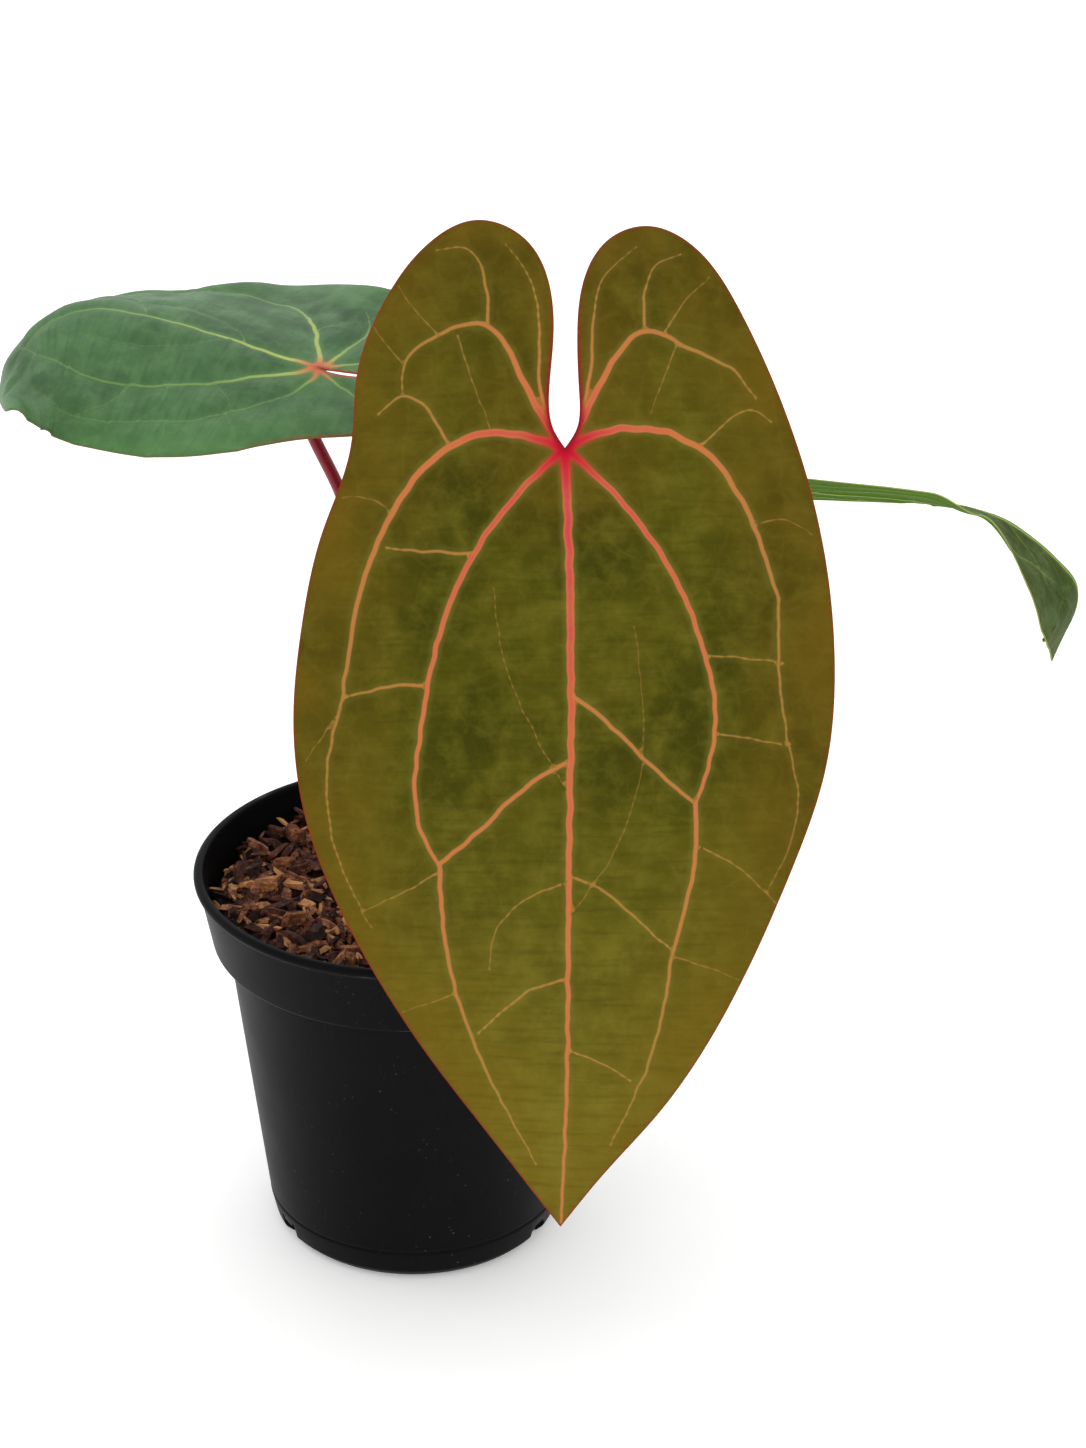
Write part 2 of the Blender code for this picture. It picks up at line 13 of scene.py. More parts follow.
import json
import math
import random

import bmesh
import bpy
import numpy as np
from mathutils import Matrix, Vector, noise
from mathutils.geometry import delaunay_2d_cdt

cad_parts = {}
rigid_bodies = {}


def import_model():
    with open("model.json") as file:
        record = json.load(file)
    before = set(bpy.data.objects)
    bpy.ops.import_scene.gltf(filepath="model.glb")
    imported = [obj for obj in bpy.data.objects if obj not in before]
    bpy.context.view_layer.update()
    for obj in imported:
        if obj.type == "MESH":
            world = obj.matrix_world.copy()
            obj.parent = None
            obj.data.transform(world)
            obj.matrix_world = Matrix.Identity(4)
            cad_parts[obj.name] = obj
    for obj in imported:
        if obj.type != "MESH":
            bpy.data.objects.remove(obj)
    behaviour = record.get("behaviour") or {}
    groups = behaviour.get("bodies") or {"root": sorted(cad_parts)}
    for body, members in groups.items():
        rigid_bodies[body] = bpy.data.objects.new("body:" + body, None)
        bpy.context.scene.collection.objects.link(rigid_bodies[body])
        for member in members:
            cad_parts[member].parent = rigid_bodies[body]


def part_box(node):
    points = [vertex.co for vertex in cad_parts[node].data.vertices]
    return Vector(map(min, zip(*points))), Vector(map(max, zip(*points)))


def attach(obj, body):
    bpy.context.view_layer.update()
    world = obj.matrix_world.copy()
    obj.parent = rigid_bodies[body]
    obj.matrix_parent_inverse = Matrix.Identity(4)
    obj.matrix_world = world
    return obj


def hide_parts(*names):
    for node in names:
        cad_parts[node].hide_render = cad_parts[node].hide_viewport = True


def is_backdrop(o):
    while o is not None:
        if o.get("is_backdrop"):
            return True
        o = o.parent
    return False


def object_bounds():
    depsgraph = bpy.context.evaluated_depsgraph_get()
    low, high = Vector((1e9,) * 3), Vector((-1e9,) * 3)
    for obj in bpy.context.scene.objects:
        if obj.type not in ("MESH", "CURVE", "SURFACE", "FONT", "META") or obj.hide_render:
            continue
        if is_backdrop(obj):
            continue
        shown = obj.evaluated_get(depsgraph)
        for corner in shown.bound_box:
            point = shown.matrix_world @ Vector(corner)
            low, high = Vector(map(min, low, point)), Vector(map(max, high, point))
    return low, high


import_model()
cad_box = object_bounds()
MM = 0.001
SEED = 7
print("CAD box in mm:", [[round(c / MM, 1) for c in corner] for corner in cad_box])

# %% [markdown]
# ## Step 2: camera and studio
#
# A long lens looks down a little at the plant. The floor is pale and the light
# comes from large soft panels, as in a product studio, so shadows stay faint.

# %% Camera
CAMERA_PLACE = (36.5, -1000.0, 665.8)  # mm: a metre in front, above the leaves
CAMERA_DOWN = 27.1                     # degrees below level
CAMERA_LENS = 102.9                    # mm, before a sensor 36 mm wide

camera_data = bpy.data.cameras.new("camera")
camera_data.lens = CAMERA_LENS
camera_data.sensor_width = 36
camera_data.clip_end = 20
camera = bpy.data.objects.new("camera", camera_data)
camera.location = [c * MM for c in CAMERA_PLACE]
camera.rotation_euler = (math.radians(90 - CAMERA_DOWN), 0, 0)
bpy.context.collection.objects.link(camera)
bpy.context.scene.camera = camera
bpy.context.scene.view_settings.view_transform = "Standard"
print("camera looks", CAMERA_DOWN, "degrees down through a", CAMERA_LENS, "mm lens")


# %% Small helpers for materials
def linear(hex_color):
    """A "#rrggbb" colour as the linear RGBA that shaders use."""
    parts = [int(hex_color[k:k + 2], 16) / 255 for k in (1, 3, 5)]
    bent = [c / 12.92 if c <= 0.04045 else ((c + 0.055) / 1.055) ** 2.4 for c in parts]
    return (*bent, 1.0)


def add(tree, kind, inputs=None, out=0, **settings):
    """Add a node and return one output. An input is a value, "#rrggbb" or a link."""
    made = tree.nodes.new(kind)
    for name, value in settings.items():
        setattr(made, name, value)
    for name, value in (inputs or {}).items():
        socket = made.inputs[name]
        if isinstance(value, bpy.types.NodeSocket):
            tree.links.new(value, socket)
        elif isinstance(value, str) and value.startswith("#"):
            socket.default_value = linear(value)
        else:
            socket.default_value = value
    return made.outputs[out]


def new_material(name, constants):
    """A material with one Principled shader; constants are its fixed inputs."""
    made = bpy.data.materials.new(name)
    made.use_nodes = True
    shader = made.node_tree.nodes["Principled BSDF"]
    for socket, value in constants.items():
        shader.inputs[socket].default_value = value
    return made, made.node_tree, shader


def per_size(size_mm):
    """Texture scale that makes a pattern about this many millimetres across."""
    return 1 / (size_mm * MM)


def layered(tree, color, layers):
    """Lay each (mask, colour) layer over the last, and return the result."""
    for mask, paint in layers:
        color = add(tree, "ShaderNodeMix", {0: mask, 6: color, 7: paint}, 2,
                    data_type="RGBA")
    return color


def wire_shader(tree, shader, color, rough, height, strength, depth):
    """Join colour, roughness and a bump of so many mm to a Principled shader."""
    bumped = add(tree, "ShaderNodeBump", {"Height": height, "Strength": strength,
                                          "Distance": depth * MM}, "Normal")
    for socket, source in (("Base Color", color), ("Roughness", rough), ("Normal", bumped)):
        tree.links.new(source, shader.inputs[socket])


print("helpers ready; a 2 mm pattern has scale", per_size(2))


# %% Floor
def matt_floor_paint(name):
    """Matt white paint; a little light of its own keeps the shadows faint."""
    made, tree, shader = new_material(name, {
        "Roughness": 0.9, "Specular IOR Level": 0.1,
        "Emission Color": (1, 1, 1, 1), "Emission Strength": 0.2})
    coords = add(tree, "ShaderNodeTexCoord", out="Object")
    grain = add(tree, "ShaderNodeTexNoise", {"Vector": coords, "Scale": per_size(25)})
    paint = layered(tree, "#fbfbfb", [(grain, "#ffffff")])
    tree.links.new(paint, shader.inputs["Base Color"])
    return made


bpy.ops.mesh.primitive_plane_add(size=12)
floor = bpy.context.object
floor.name = "floor"
floor.data.materials.append(matt_floor_paint("matt_floor_paint"))
floor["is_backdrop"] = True
print("floor is", floor.dimensions.x, "m across")


# %% Lights
def soft_panel(name, place, aim, size, power):
    """A large rectangular light at place that faces aim, in metres and watts."""
    data = bpy.data.lights.new(name, "AREA")
    data.shape = "RECTANGLE"
    data.size, data.size_y = size
    data.energy = power
    panel = bpy.data.objects.new(name, data)
    panel.location = place
    towards = Vector(aim) - Vector(place)
    panel.rotation_euler = towards.to_track_quat("-Z", "Y").to_euler()
    bpy.context.collection.objects.link(panel)


world = bpy.data.worlds.new("studio")
bpy.context.scene.world = world
world.use_nodes = True
walls = world.node_tree.nodes["Background"]
walls.inputs["Color"].default_value = (1, 1, 1, 1)
walls.inputs["Strength"].default_value = 0.98
middle = (0.03, -0.03, 0.16)
soft_panel("key", (-0.4, -0.9, 1.8), middle, (1.8, 1.8), 4)
soft_panel("fill", (1.3, -1.0, 1.0), middle, (1.0, 1.4), 1.5)
soft_panel("back", (0.1, 1.4, 1.5), middle, (2.4, 0.8), 6)
soft_panel("side", (-0.9, 0.25, 0.35), (0, 0, 0.06), (0.3, 0.7), 0.5)
print("studio ready: white surroundings and 4 soft panels")

# %% [markdown]
# ## Step 3: the shape of a leaf
#
# A blade is a thin sheet bent around its midrib. We describe a point on it by
# two numbers in millimetres: `u`, how far it is from the midrib, and `v`, how
# far along the midrib it is from the place where the stalk joins. The midrib is
# a smooth curve in space, and each half of the blade folds up or down from it.

# %% Smooth curves through a few points
def spline(points):
    """Natural cubic through the points; returns it and its total length."""
    p = np.asarray(points, float)
    t = np.concatenate([[0], np.cumsum(np.linalg.norm(np.diff(p, axis=0), axis=1))])
    h = np.diff(t)
    n = len(t)
    lhs = np.eye(n)
    rhs = np.zeros_like(p)
    for i in range(1, n - 1):
        lhs[i, i - 1:i + 2] = (h[i - 1], 2 * (h[i - 1] + h[i]), h[i])
        rhs[i] = 6 * ((p[i + 1] - p[i]) / h[i] - (p[i] - p[i - 1]) / h[i - 1])
    m = np.linalg.solve(lhs, rhs)

    def curve(x):
        x = np.clip(np.asarray(x, float), 0, t[-1])
        i = np.clip(np.searchsorted(t, x) - 1, 0, n - 2)
        a = (t[i + 1] - x)[..., None]
        b = (x - t[i])[..., None]
        g = h[i][..., None]
        bend = (m[i] * a**3 + m[i + 1] * b**3) / (6 * g)
        return bend + (p[i] / g - m[i] * g / 6) * a + (p[i + 1] / g - m[i + 1] * g / 6) * b

    return curve, t


def eased(stations, x):
    """Value at x between (position, value) stations, easing in and out."""
    s = np.asarray(stations, float)
    i = np.clip(np.searchsorted(s[:, 0], x) - 1, 0, len(s) - 2)
    w = np.clip((x - s[i, 0]) / (s[i + 1, 0] - s[i, 0]), 0, 1)
    w = w * w * (3 - 2 * w)
    return s[i, 1] * (1 - w) + s[i + 1, 1] * w


# %% The bent sheet
CREASE = 3.0       # mm beside the midrib in which the two halves meet softly
RIB_SAMPLES = 600  # points that stand for the midrib's curve


class BladeSurface:
    """at(u, v) is the sheet's point in millimetres; crown is the crown's height."""

    def __init__(self, leaf, crown):
        curve, knots = spline([(x, y, z + crown) for x, y, z in leaf["midrib"]])
        t = np.linspace(0, knots[-1], RIB_SAMPLES)
        line = curve(t)
        steps = np.linalg.norm(np.diff(line, axis=0), axis=1)
        along = np.concatenate([[0], np.cumsum(steps)])
        start = int(np.argmin(np.abs(t - knots[leaf["junction"]])))
        along -= along[start]
        forward = np.gradient(line, along, axis=0)
        forward /= np.linalg.norm(forward, axis=1)[:, None]
        up = np.zeros_like(forward)
        up[start] = leaf["facing"]
        order = [(start, start)]
        order += [(k, k - 1) for k in range(start + 1, len(t))]
        order += [(k, k + 1) for k in range(start - 1, -1, -1)]
        for k, source in order:
            carried = up[source] - up[source] @ forward[k] * forward[k]
            up[k] = carried / np.linalg.norm(carried)
        side = np.cross(forward, up)
        turn = np.radians(eased(leaf["twist"], along))[:, None]
        self.along, self.line, self.forward = along, line, forward
        self.up = up * np.cos(turn) + side * np.sin(turn)
        self.side = side * np.cos(turn) - up * np.sin(turn)
        self.leaf = leaf

    def at(self, u, v):
        u = np.asarray(u, float)
        v = np.asarray(v, float)

        def along_rib(values):
            return np.stack([np.interp(v, self.along, values[:, k]) for k in range(3)], -1)

        past = v - np.clip(v, self.along[0], self.along[-1])
        foot = along_rib(self.line) + along_rib(self.forward) * past[..., None]
        plus = eased(self.leaf["fold_plus"], v)
        minus = eased(self.leaf["fold_minus"], v)
        share = 0.5 + 0.5 * np.tanh(u / CREASE)
        fold = np.radians(minus + (plus - minus) * share)
        rise = (np.sqrt(u * u + CREASE**2) - CREASE) * np.sin(fold)
        level = along_rib(self.side) * (u * np.cos(fold))[..., None]
        return foot + level + along_rib(self.up) * rise[..., None]


# %% [markdown]
# ### The three leaves
#
# Each leaf lists its midrib, its outline and its veins as a few points. The
# midrib and the stalk (`petiole`) are in `(x, y, z)` with heights above the
# crown; `junction` is the midrib point where the stalk joins, and `facing` is
# the way the upper side looks there. `twist` turns the blade about its midrib
# and the two folds bend its halves, each as `(v, degrees)`.
#
# The outline and the veins are in `(u, v)`. After its points a vein has a width
# at its start and its end, in mm, and a vigour at both: 1 for a thick coloured
# rib, and near 0 where a vein is only a faint crease.

# %% Leaf data in millimetres
LEAVES = {
    "front": {
        "midrib": [(41, -10, 211), (42, -29, 180), (42, -45, 151), (42.5, -72, 101),
                   (43, -95, 48), (42.5, -110, 1), (41, -117, -34)],
        "junction": 2,
        "facing": (0, -1, 0.5),
        "twist": [(-70, 0), (200, 0)],
        "fold_plus": [(-70, -4), (200, -4)],
        "fold_minus": [(-70, -4), (200, -4)],
        "outline_plus": [(0, 0), (3, -5), (4, -14), (3, -26), (3.5, -40), (9, -52.5),
                         (22, -58.5), (34, -53), (46, -37), (52.5, -18), (54, 0),
                         (61, 20), (66.5, 43), (69, 66), (66.5, 92), (57, 118),
                         (40, 148), (16, 180), (0, 200)],
        "outline_minus": [(0, 0), (3, -5), (3.5, -14), (3, -28), (4.5, -41), (11, -52),
                          (21, -55.5), (33, -50), (43.5, -35.5), (53, -16), (61.5, 9),
                          (66, 32), (67.5, 55), (65, 81), (56.5, 106), (40, 142),
                          (24.5, 167), (9.5, 186), (0, 200)],
        "veins": [
            ([(0, 0), (-1, 30), (-1, 63), (0, 108), (0, 178), (0, 199)], 2.3, 0.7, 1, 0.66),
            ([(0, 0), (8.5, 8), (22.5, 25.5), (32, 46.5), (37.5, 74.5), (37.5, 95),
              (32.5, 105)], 1.6, 0.95, 1, 0.7),
            ([(32.5, 105), (32, 118), (28.5, 137.5), (17.5, 164.5), (7, 183)],
             1.2, 0.5, 0.75, 0.2),
            ([(0, 0), (-9, 8), (-25, 28.5), (-35, 53), (-37, 72), (-32, 90)],
             1.6, 0.95, 1, 0.7),
            ([(-32, 90), (-32, 102), (-26.5, 127), (-22.5, 148.5), (-11.5, 177)],
             1.2, 0.5, 0.75, 0.2),
            ([(0, 0), (8, -2.5), (21.5, -3.5), (33, 2.5), (43.5, 16), (50, 30),
              (56.5, 62)], 2.0, 0.9, 1, 0.45),
            ([(56.5, 62), (60.5, 79), (59, 100), (50, 121)], 0.8, 0.4, 0.45, 0.1),
            ([(0, 0), (-8, -3.5), (-20.5, -5), (-33.5, -0.5), (-46, 16.5), (-53.5, 38.5)],
             2.0, 0.9, 1, 0.45),
            ([(-53.5, 38.5), (-55.5, 74.5), (-58, 90), (-50, 112)], 0.8, 0.4, 0.45, 0.1),
            ([(1, -1), (6, -8.5), (12.5, -21), (19.5, -31), (32.5, -28.5), (40.5, -21),
              (41, -13)], 1.9, 0.5, 1, 0.25),
            ([(-1, -1), (-7, -12.5), (-13.5, -24), (-20, -29.5), (-29.5, -26),
              (-42, -20), (-48, -13)], 1.9, 0.5, 1, 0.25),
            ([(2, -2), (5.5, -11), (6.5, -27), (8.5, -42.5), (14.5, -52)], 1.1, 0.3, 0.8, 0.2),
            ([(-2, -2), (-5.5, -14), (-7, -30), (-10, -43), (-18.5, -50)],
             1.1, 0.3, 0.8, 0.2),
            ([(19.5, -31), (20.5, -45), (24, -51), (32, -51)], 0.9, 0.4, 0.55, 0.2),
            ([(-20, -29.5), (-20, -37), (-23.5, -46), (-29.5, -48)], 0.8, 0.4, 0.45, 0.2),
            ([(47, -8.5), (41, -13), (29, -0.5)], 0.6, 0.8, 0.3, 0.5),
            ([(45, 24.5), (35.5, 25.5), (23, 26)], 0.6, 0.8, 0.35, 0.5),
            ([(56, 62), (45.5, 59.5), (36.5, 59)], 0.6, 0.9, 0.35, 0.55),
            ([(0.5, 79), (7, 82.5), (22.5, 96), (32.5, 104.5)], 1.1, 1.1, 0.7, 0.7),
            ([(-1, 62), (-9.5, 68.5), (-24, 83), (-32, 89.5)], 1.1, 0.9, 0.6, 0.6),
            ([(0, 107.5), (-9, 111.5), (-17, 118.5), (-26.5, 127)], 0.7, 0.6, 0.4, 0.35),
            ([(0, 133.5), (9, 136.5), (22.5, 148.5)], 0.7, 0.6, 0.4, 0.3),
            ([(0, 152), (-7.5, 155), (-16, 160)], 0.6, 0.5, 0.4, 0.3),
            ([(0, 109), (11, 113.5), (18, 121), (20, 131.5)], 0.6, 0.4, 0.3, 0.15),
            ([(-35, 52.5), (-46, 53.5), (-54.5, 54.5)], 0.6, 0.5, 0.3, 0.25),
            ([(-37, 72), (-48, 74), (-56, 75)], 0.6, 0.5, 0.3, 0.25),
            ([(-35, -1.5), (-40, -6), (-46.5, -10), (-52, -7)], 0.6, 0.5, 0.4, 0.2),
            ([(-28, -26), (-25, -18), (-21.5, -9)], 0.5, 0.3, 0.2, 0.08),
            ([(27, -28.5), (24, -19), (19, -6)], 0.5, 0.3, 0.22, 0.1),
            ([(-25, -29), (-31, -37.5), (-36.5, -42.5)], 0.6, 0.3, 0.3, 0.1),
            ([(40.5, -21), (46, -28), (49, -33)], 0.5, 0.3, 0.2, 0.05),
            ([(32, -29), (38, -36), (42, -42)], 0.5, 0.3, 0.2, 0.05),
            ([(43, 16), (50, 12), (56, 12)], 0.5, 0.3, 0.2, 0.05),
            ([(57, 65), (62, 72), (66, 78)], 0.5, 0.3, 0.15, 0.05),
            ([(-47, 20), (-55, 18), (-62, 22)], 0.5, 0.3, 0.2, 0.05),
            ([(32, 106), (44, 113), (52, 117)], 0.6, 0.4, 0.3, 0.1),
            ([(-32, 100), (-43, 106), (-52, 115)], 0.6, 0.4, 0.3, 0.1),
            ([(28.5, 138), (36, 141), (42, 143)], 0.5, 0.3, 0.2, 0.05),
            ([(-26, 128), (-35, 131), (-43, 134)], 0.5, 0.3, 0.2, 0.05),
            ([(-1, 88), (9, 70), (16, 52), (18, 35)], 0.4, 0.3, 0.08, 0.03),
            ([(0, 118), (-14, 96), (-19, 70), (-17, 45)], 0.4, 0.3, 0.08, 0.03),
        ],
        "petiole": [(3.5, -2.5, 0), (9, -3, 31), (20, -11, 76), (31, -22, 118)],
    },
    "left": {
        "midrib": [(18, -10, 148), (-1, -6, 151), (-22, 0, 154), (-36, 5, 157),
                   (-53, 10, 161), (-70, 14, 163.5), (-85, 18, 163), (-97, 20, 157),
                   (-104, 20, 148), (-107, 18, 139)],
        "junction": 2,
        "facing": (0, 0, 1),
        "twist": [(-30, 0), (110, 0)],
        "fold_plus": [(-45, 12), (0, 4), (30, -10), (60, -17), (100, -20)],
        "fold_minus": [(-45, -14), (0, -18), (50, -28), (76, -23), (100, -10)],
        "outline_plus": [(0, 0), (0.9, -5), (0.5, -15), (1.2, -26), (13, -36), (28, -34),
                         (41, -22), (48, -10), (48, 2), (51, 12), (54.5, 20), (54, 28),
                         (47, 38), (43, 50), (42, 60), (33, 79), (16, 96), (0, 102)],
        "outline_minus": [(0, 0), (0.9, -5), (0.5, -15), (1.2, -26), (10, -33), (17, -29),
                          (24, -18), (29.5, -6), (37, 3), (43, 11), (46.5, 22), (47.5, 36),
                          (46.5, 54), (46, 70), (45.5, 82), (46, 88), (48.5, 92),
                          (48, 95.5), (40, 98.5), (24, 100.4), (9, 101.6), (0, 102)],
        "veins": [
            ([(0, 0), (0, 15), (0, 30), (0, 48)], 1.6, 0.8, 1, 0.6),
            ([(0, 48), (-0.5, 62), (-4, 78), (-10, 90)], 0.8, 0.5, 0.6, 0.1),
            ([(0, 0), (-3, 2), (-7.5, 8), (-14, 17), (-18.5, 23.5)], 1.4, 0.8, 1, 0.45),
            ([(-18.5, 23.5), (-23.5, 38.5), (-25, 50), (-22, 66), (-13, 80), (-1, 87)],
             0.8, 0.5, 0.45, 0.1),
            ([(0, 0), (4, 1), (11, 4.5), (19.5, 9), (28.5, 14.5)], 1.4, 0.9, 1, 0.7),
            ([(28.5, 14.5), (35, 19.5), (39, 27), (39, 45), (32, 66), (18, 84)],
             0.8, 0.4, 0.6, 0.08),
            ([(0, 0), (-3.5, -1), (-8, 0), (-11.5, 1), (-14.5, 2.5)], 1.1, 0.6, 0.8, 0.3),
            ([(-14.5, 2.5), (-22, 9), (-31, 20), (-36, 38), (-38, 52), (-36, 66), (-29, 82)],
             0.6, 0.4, 0.3, 0.06),
            ([(1, -1), (8, -2), (12.5, -2.5), (25, -5), (34, 0)], 1.2, 0.5, 0.9, 0.2),
            ([(2, -2), (8, -9), (13, -18), (20, -24)], 1.0, 0.4, 0.8, 0.1),
            ([(-2, -2), (-8, -12), (-14, -22), (-15, -27)], 0.9, 0.4, 0.6, 0.1),
            ([(0, 20), (8, 29), (12, 44), (10, 60)], 0.5, 0.4, 0.15, 0.04),
            ([(0, 24), (-8, 34), (-12, 48), (-11, 64)], 0.5, 0.4, 0.12, 0.04),
            ([(0, 48), (14, 55), (30, 66)], 0.5, 0.4, 0.25, 0.06),
            ([(-24, 44), (-31, 48), (-38, 56)], 0.5, 0.4, 0.15, 0.04),
            ([(-22, 34), (-29, 34), (-35, 38)], 0.5, 0.4, 0.15, 0.04),
            ([(-18, 22), (-22, 16), (-25, 13)], 0.5, 0.4, 0.15, 0.04),
            ([(-22, 64), (-30, 68), (-35, 74)], 0.5, 0.4, 0.15, 0.04),
            ([(-38, 46), (-43, 48), (-46, 52)], 0.4, 0.3, 0.12, 0.04),
            ([(-34, 30), (-41, 28), (-46, 30)], 0.4, 0.3, 0.12, 0.04),
            ([(-27, 14), (-34, 8), (-38, 6)], 0.4, 0.3, 0.12, 0.04),
            ([(-37, 62), (-41, 66), (-43, 72)], 0.4, 0.3, 0.12, 0.04),
            ([(-13, 80), (-20, 88), (-24, 95)], 0.4, 0.3, 0.12, 0.04),
            ([(39, 40), (42, 44), (43, 50)], 0.4, 0.3, 0.12, 0.04),
            ([(20, 9), (26, 4), (33, 2)], 0.5, 0.3, 0.3, 0.05),
        ],
        "petiole": [(-4.5, 1.5, 0), (-7.5, 1.2, 31), (-13, 1, 76), (-17, 1.5, 118)],
    },
    "right": {
        "midrib": [(62, 8, 118), (84, 8, 118), (108, 9, 115.5), (126, 10, 113.5),
                   (144, 11, 110.5), (156, 12, 107), (166, 13, 101), (175, 14, 92.5),
                   (181, 14, 84.5), (180.5, 14, 76), (177, 14, 67), (174, 14, 57)],
        "junction": 1,
        "facing": (0, 0.477, 0.879),
        "twist": [(-40, 0), (50, 0), (64, 8), (84, 40), (105, 52), (124, 54)],
        "fold_plus": [(-60, -1), (60, -2), (130, -6)],
        "fold_minus": [(-60, 0), (54, 0), (66, -24), (84, -52), (130, -75)],
        "outline_plus": [(0, 0), (3.5, -6), (4, -14), (5, -25), (12, -32), (24, -28),
                         (32, -13), (36, 5), (36, 26), (32, 48), (27, 62), (19, 72),
                         (19, 79), (28, 86), (32, 90), (30, 98), (28.5, 108), (27.5, 112),
                         (24.5, 116), (19.5, 120), (12, 124), (5, 128), (0, 131)],
        "outline_minus": [(0, 0), (3.5, -6), (4, -14), (5, -25), (12, -32), (24, -28),
                          (32, -13), (35, 5), (33, 26), (26, 42), (12, 57), (5, 66),
                          (5, 74), (10, 84), (13, 92), (9, 101), (5, 112), (4, 122),
                          (0, 131)],
        "veins": [
            ([(0, 0), (0, 30), (0, 60), (0, 95), (0, 130)], 1.8, 0.7, 1, 0.6),
            ([(0, 0), (8, 9), (16, 26), (20, 45), (17, 70), (9, 98)], 1.3, 0.4, 0.9, 0.2),
            ([(0, 0), (-8, 9), (-15, 26), (-16, 45), (-11, 64), (-9, 88)], 1.3, 0.4, 0.9, 0.2),
            ([(0, 0), (9, 0), (20, 5), (28, 18), (31, 36), (27, 60)], 1.0, 0.4, 0.8, 0.1),
            ([(0, 0), (-9, 0), (-19, 5), (-26, 16), (-26, 34), (-18, 54)], 1.0, 0.4, 0.8, 0.1),
            ([(1, -1), (9, -8), (15, -18), (17, -25)], 0.9, 0.4, 0.8, 0.1),
            ([(-1, -1), (-9, -8), (-15, -18), (-17, -25)], 0.9, 0.4, 0.8, 0.1),
            ([(0, 24), (10, 33), (20, 44)], 0.5, 0.4, 0.3, 0.2),
            ([(0, 24), (-10, 33), (-16, 42)], 0.5, 0.4, 0.3, 0.2),
            ([(0, 50), (9, 60), (17, 70)], 0.5, 0.4, 0.3, 0.2),
            ([(0, 78), (8, 86), (13, 95)], 0.5, 0.4, 0.3, 0.2),
            ([(0, 50), (-6, 57), (-12, 62)], 0.5, 0.4, 0.3, 0.2),
        ],
        "petiole": [(3, 4.5, 0), (16, 6, 34), (40, 8, 74), (64, 7.5, 97)],
    },
}

# %% Blades as bent sheets
CROWN = 104.0          # height where the stalks leave the stem
BLADE_THICKNESS = 0.5
surfaces = {side: BladeSurface(leaf, CROWN) for side, leaf in LEAVES.items()}
for side, surface in surfaces.items():
    print(side, "leaf joins its stalk at", [round(float(c)) for c in surface.at(0, 0)])

# %% [markdown]
# ### From outline and veins to a mesh
#
# A leaf could be a grid with a picture of veins on it. Here the veins are real:
# the mesh has a row of points along the middle and the edges of each vein, so a
# rib stands up and the soft tissue between ribs swells into pillows. Every point
# also remembers how far it is from the veins and from the margin. The material
# reads those distances, so colour and relief always agree.

# %% Points on the flat leaf
OUTLINE_STEP, LATTICE_STEP, VEIN_STEP = 1.3, 1.55, 1.1  # spacing of points, in mm
LATTICE_REACH = 80.0        # mm to each side of the midrib
FLANK = 0.9                 # from a rib's edge to the row of points beside it
GAPS = (0.4, 0.32, 0.5, 0.85)  # least spacing at rib middles, edges, flanks, lattice
WOBBLE, WOBBLE_SIZE = 0.45, 4.0  # how far a vein strays, and over what length
WOBBLE_STARTS = 8.0         # mm from a vein's start to its full wobble


def blade_outline(leaf, spacing):
    """Closed loop of (u, v) points: down the plus side, back up the minus side."""
    loop = []
    for side, sign in (("outline_plus", 1), ("outline_minus", -1)):
        curve, knots = spline(leaf[side])
        count = int(round(knots[-1] / spacing))
        loop.append(curve(np.linspace(0, knots[-1], count + 1)) * (sign, 1))
    return np.vstack([loop[0], loop[1][-2:0:-1]])


def inside(points, loop):
    """Which points lie inside the closed loop."""
    a, b = loop, np.roll(loop, -1, axis=0)
    px, py = points[:, 0][:, None], points[:, 1][:, None]
    crosses = (a[:, 1] > py) != (b[:, 1] > py)
    rise = np.where(b[:, 1] == a[:, 1], 1e-9, b[:, 1] - a[:, 1])
    at_x = a[:, 0] + (py - a[:, 1]) * (b[:, 0] - a[:, 0]) / rise
    return ((px < at_x) & crosses).sum(1) % 2 == 1


def vein_samples(vein, spacing):
    """A vein's points, the way across it, and its half width and vigour there."""
    points, width_start, width_end, vigour_start, vigour_end = vein
    curve, knots = spline(points)
    length = knots[-1]
    t = np.linspace(0, length, max(4, int(length / spacing)))
    line = curve(t)
    ahead = np.gradient(line, axis=0)
    ahead /= np.linalg.norm(ahead, axis=1)[:, None]
    across = np.stack([ahead[:, 1], -ahead[:, 0]], 1)
    wobble = np.array([noise.noise(Vector((*p / WOBBLE_SIZE, 5))) for p in line])
    line += across * (WOBBLE * wobble * np.clip(t / WOBBLE_STARTS, 0, 1))[:, None]
    half = np.interp(t, (0, length), (width_start, width_end)) / 2
    return line, across, half, np.interp(t, (0, length), (vigour_start, vigour_end))


def spaced(groups):
    """Points of each (points, gap) group that keep that gap from all before them."""
    cell = max(gap for _, gap in groups)
    grid, kept = {}, []
    for points, gap in groups:
        for p in points:
            i, j = int(p[0] // cell), int(p[1] // cell)
            near = (q for a in (i - 1, i, i + 1) for b in (j - 1, j, j + 1)
                    for q in grid.get((a, b), ()))
            if all((p[0] - q[0]) ** 2 + (p[1] - q[1]) ** 2 >= gap * gap for q in near):
                grid.setdefault((i, j), []).append(p)
                kept.append(p)
    return kept


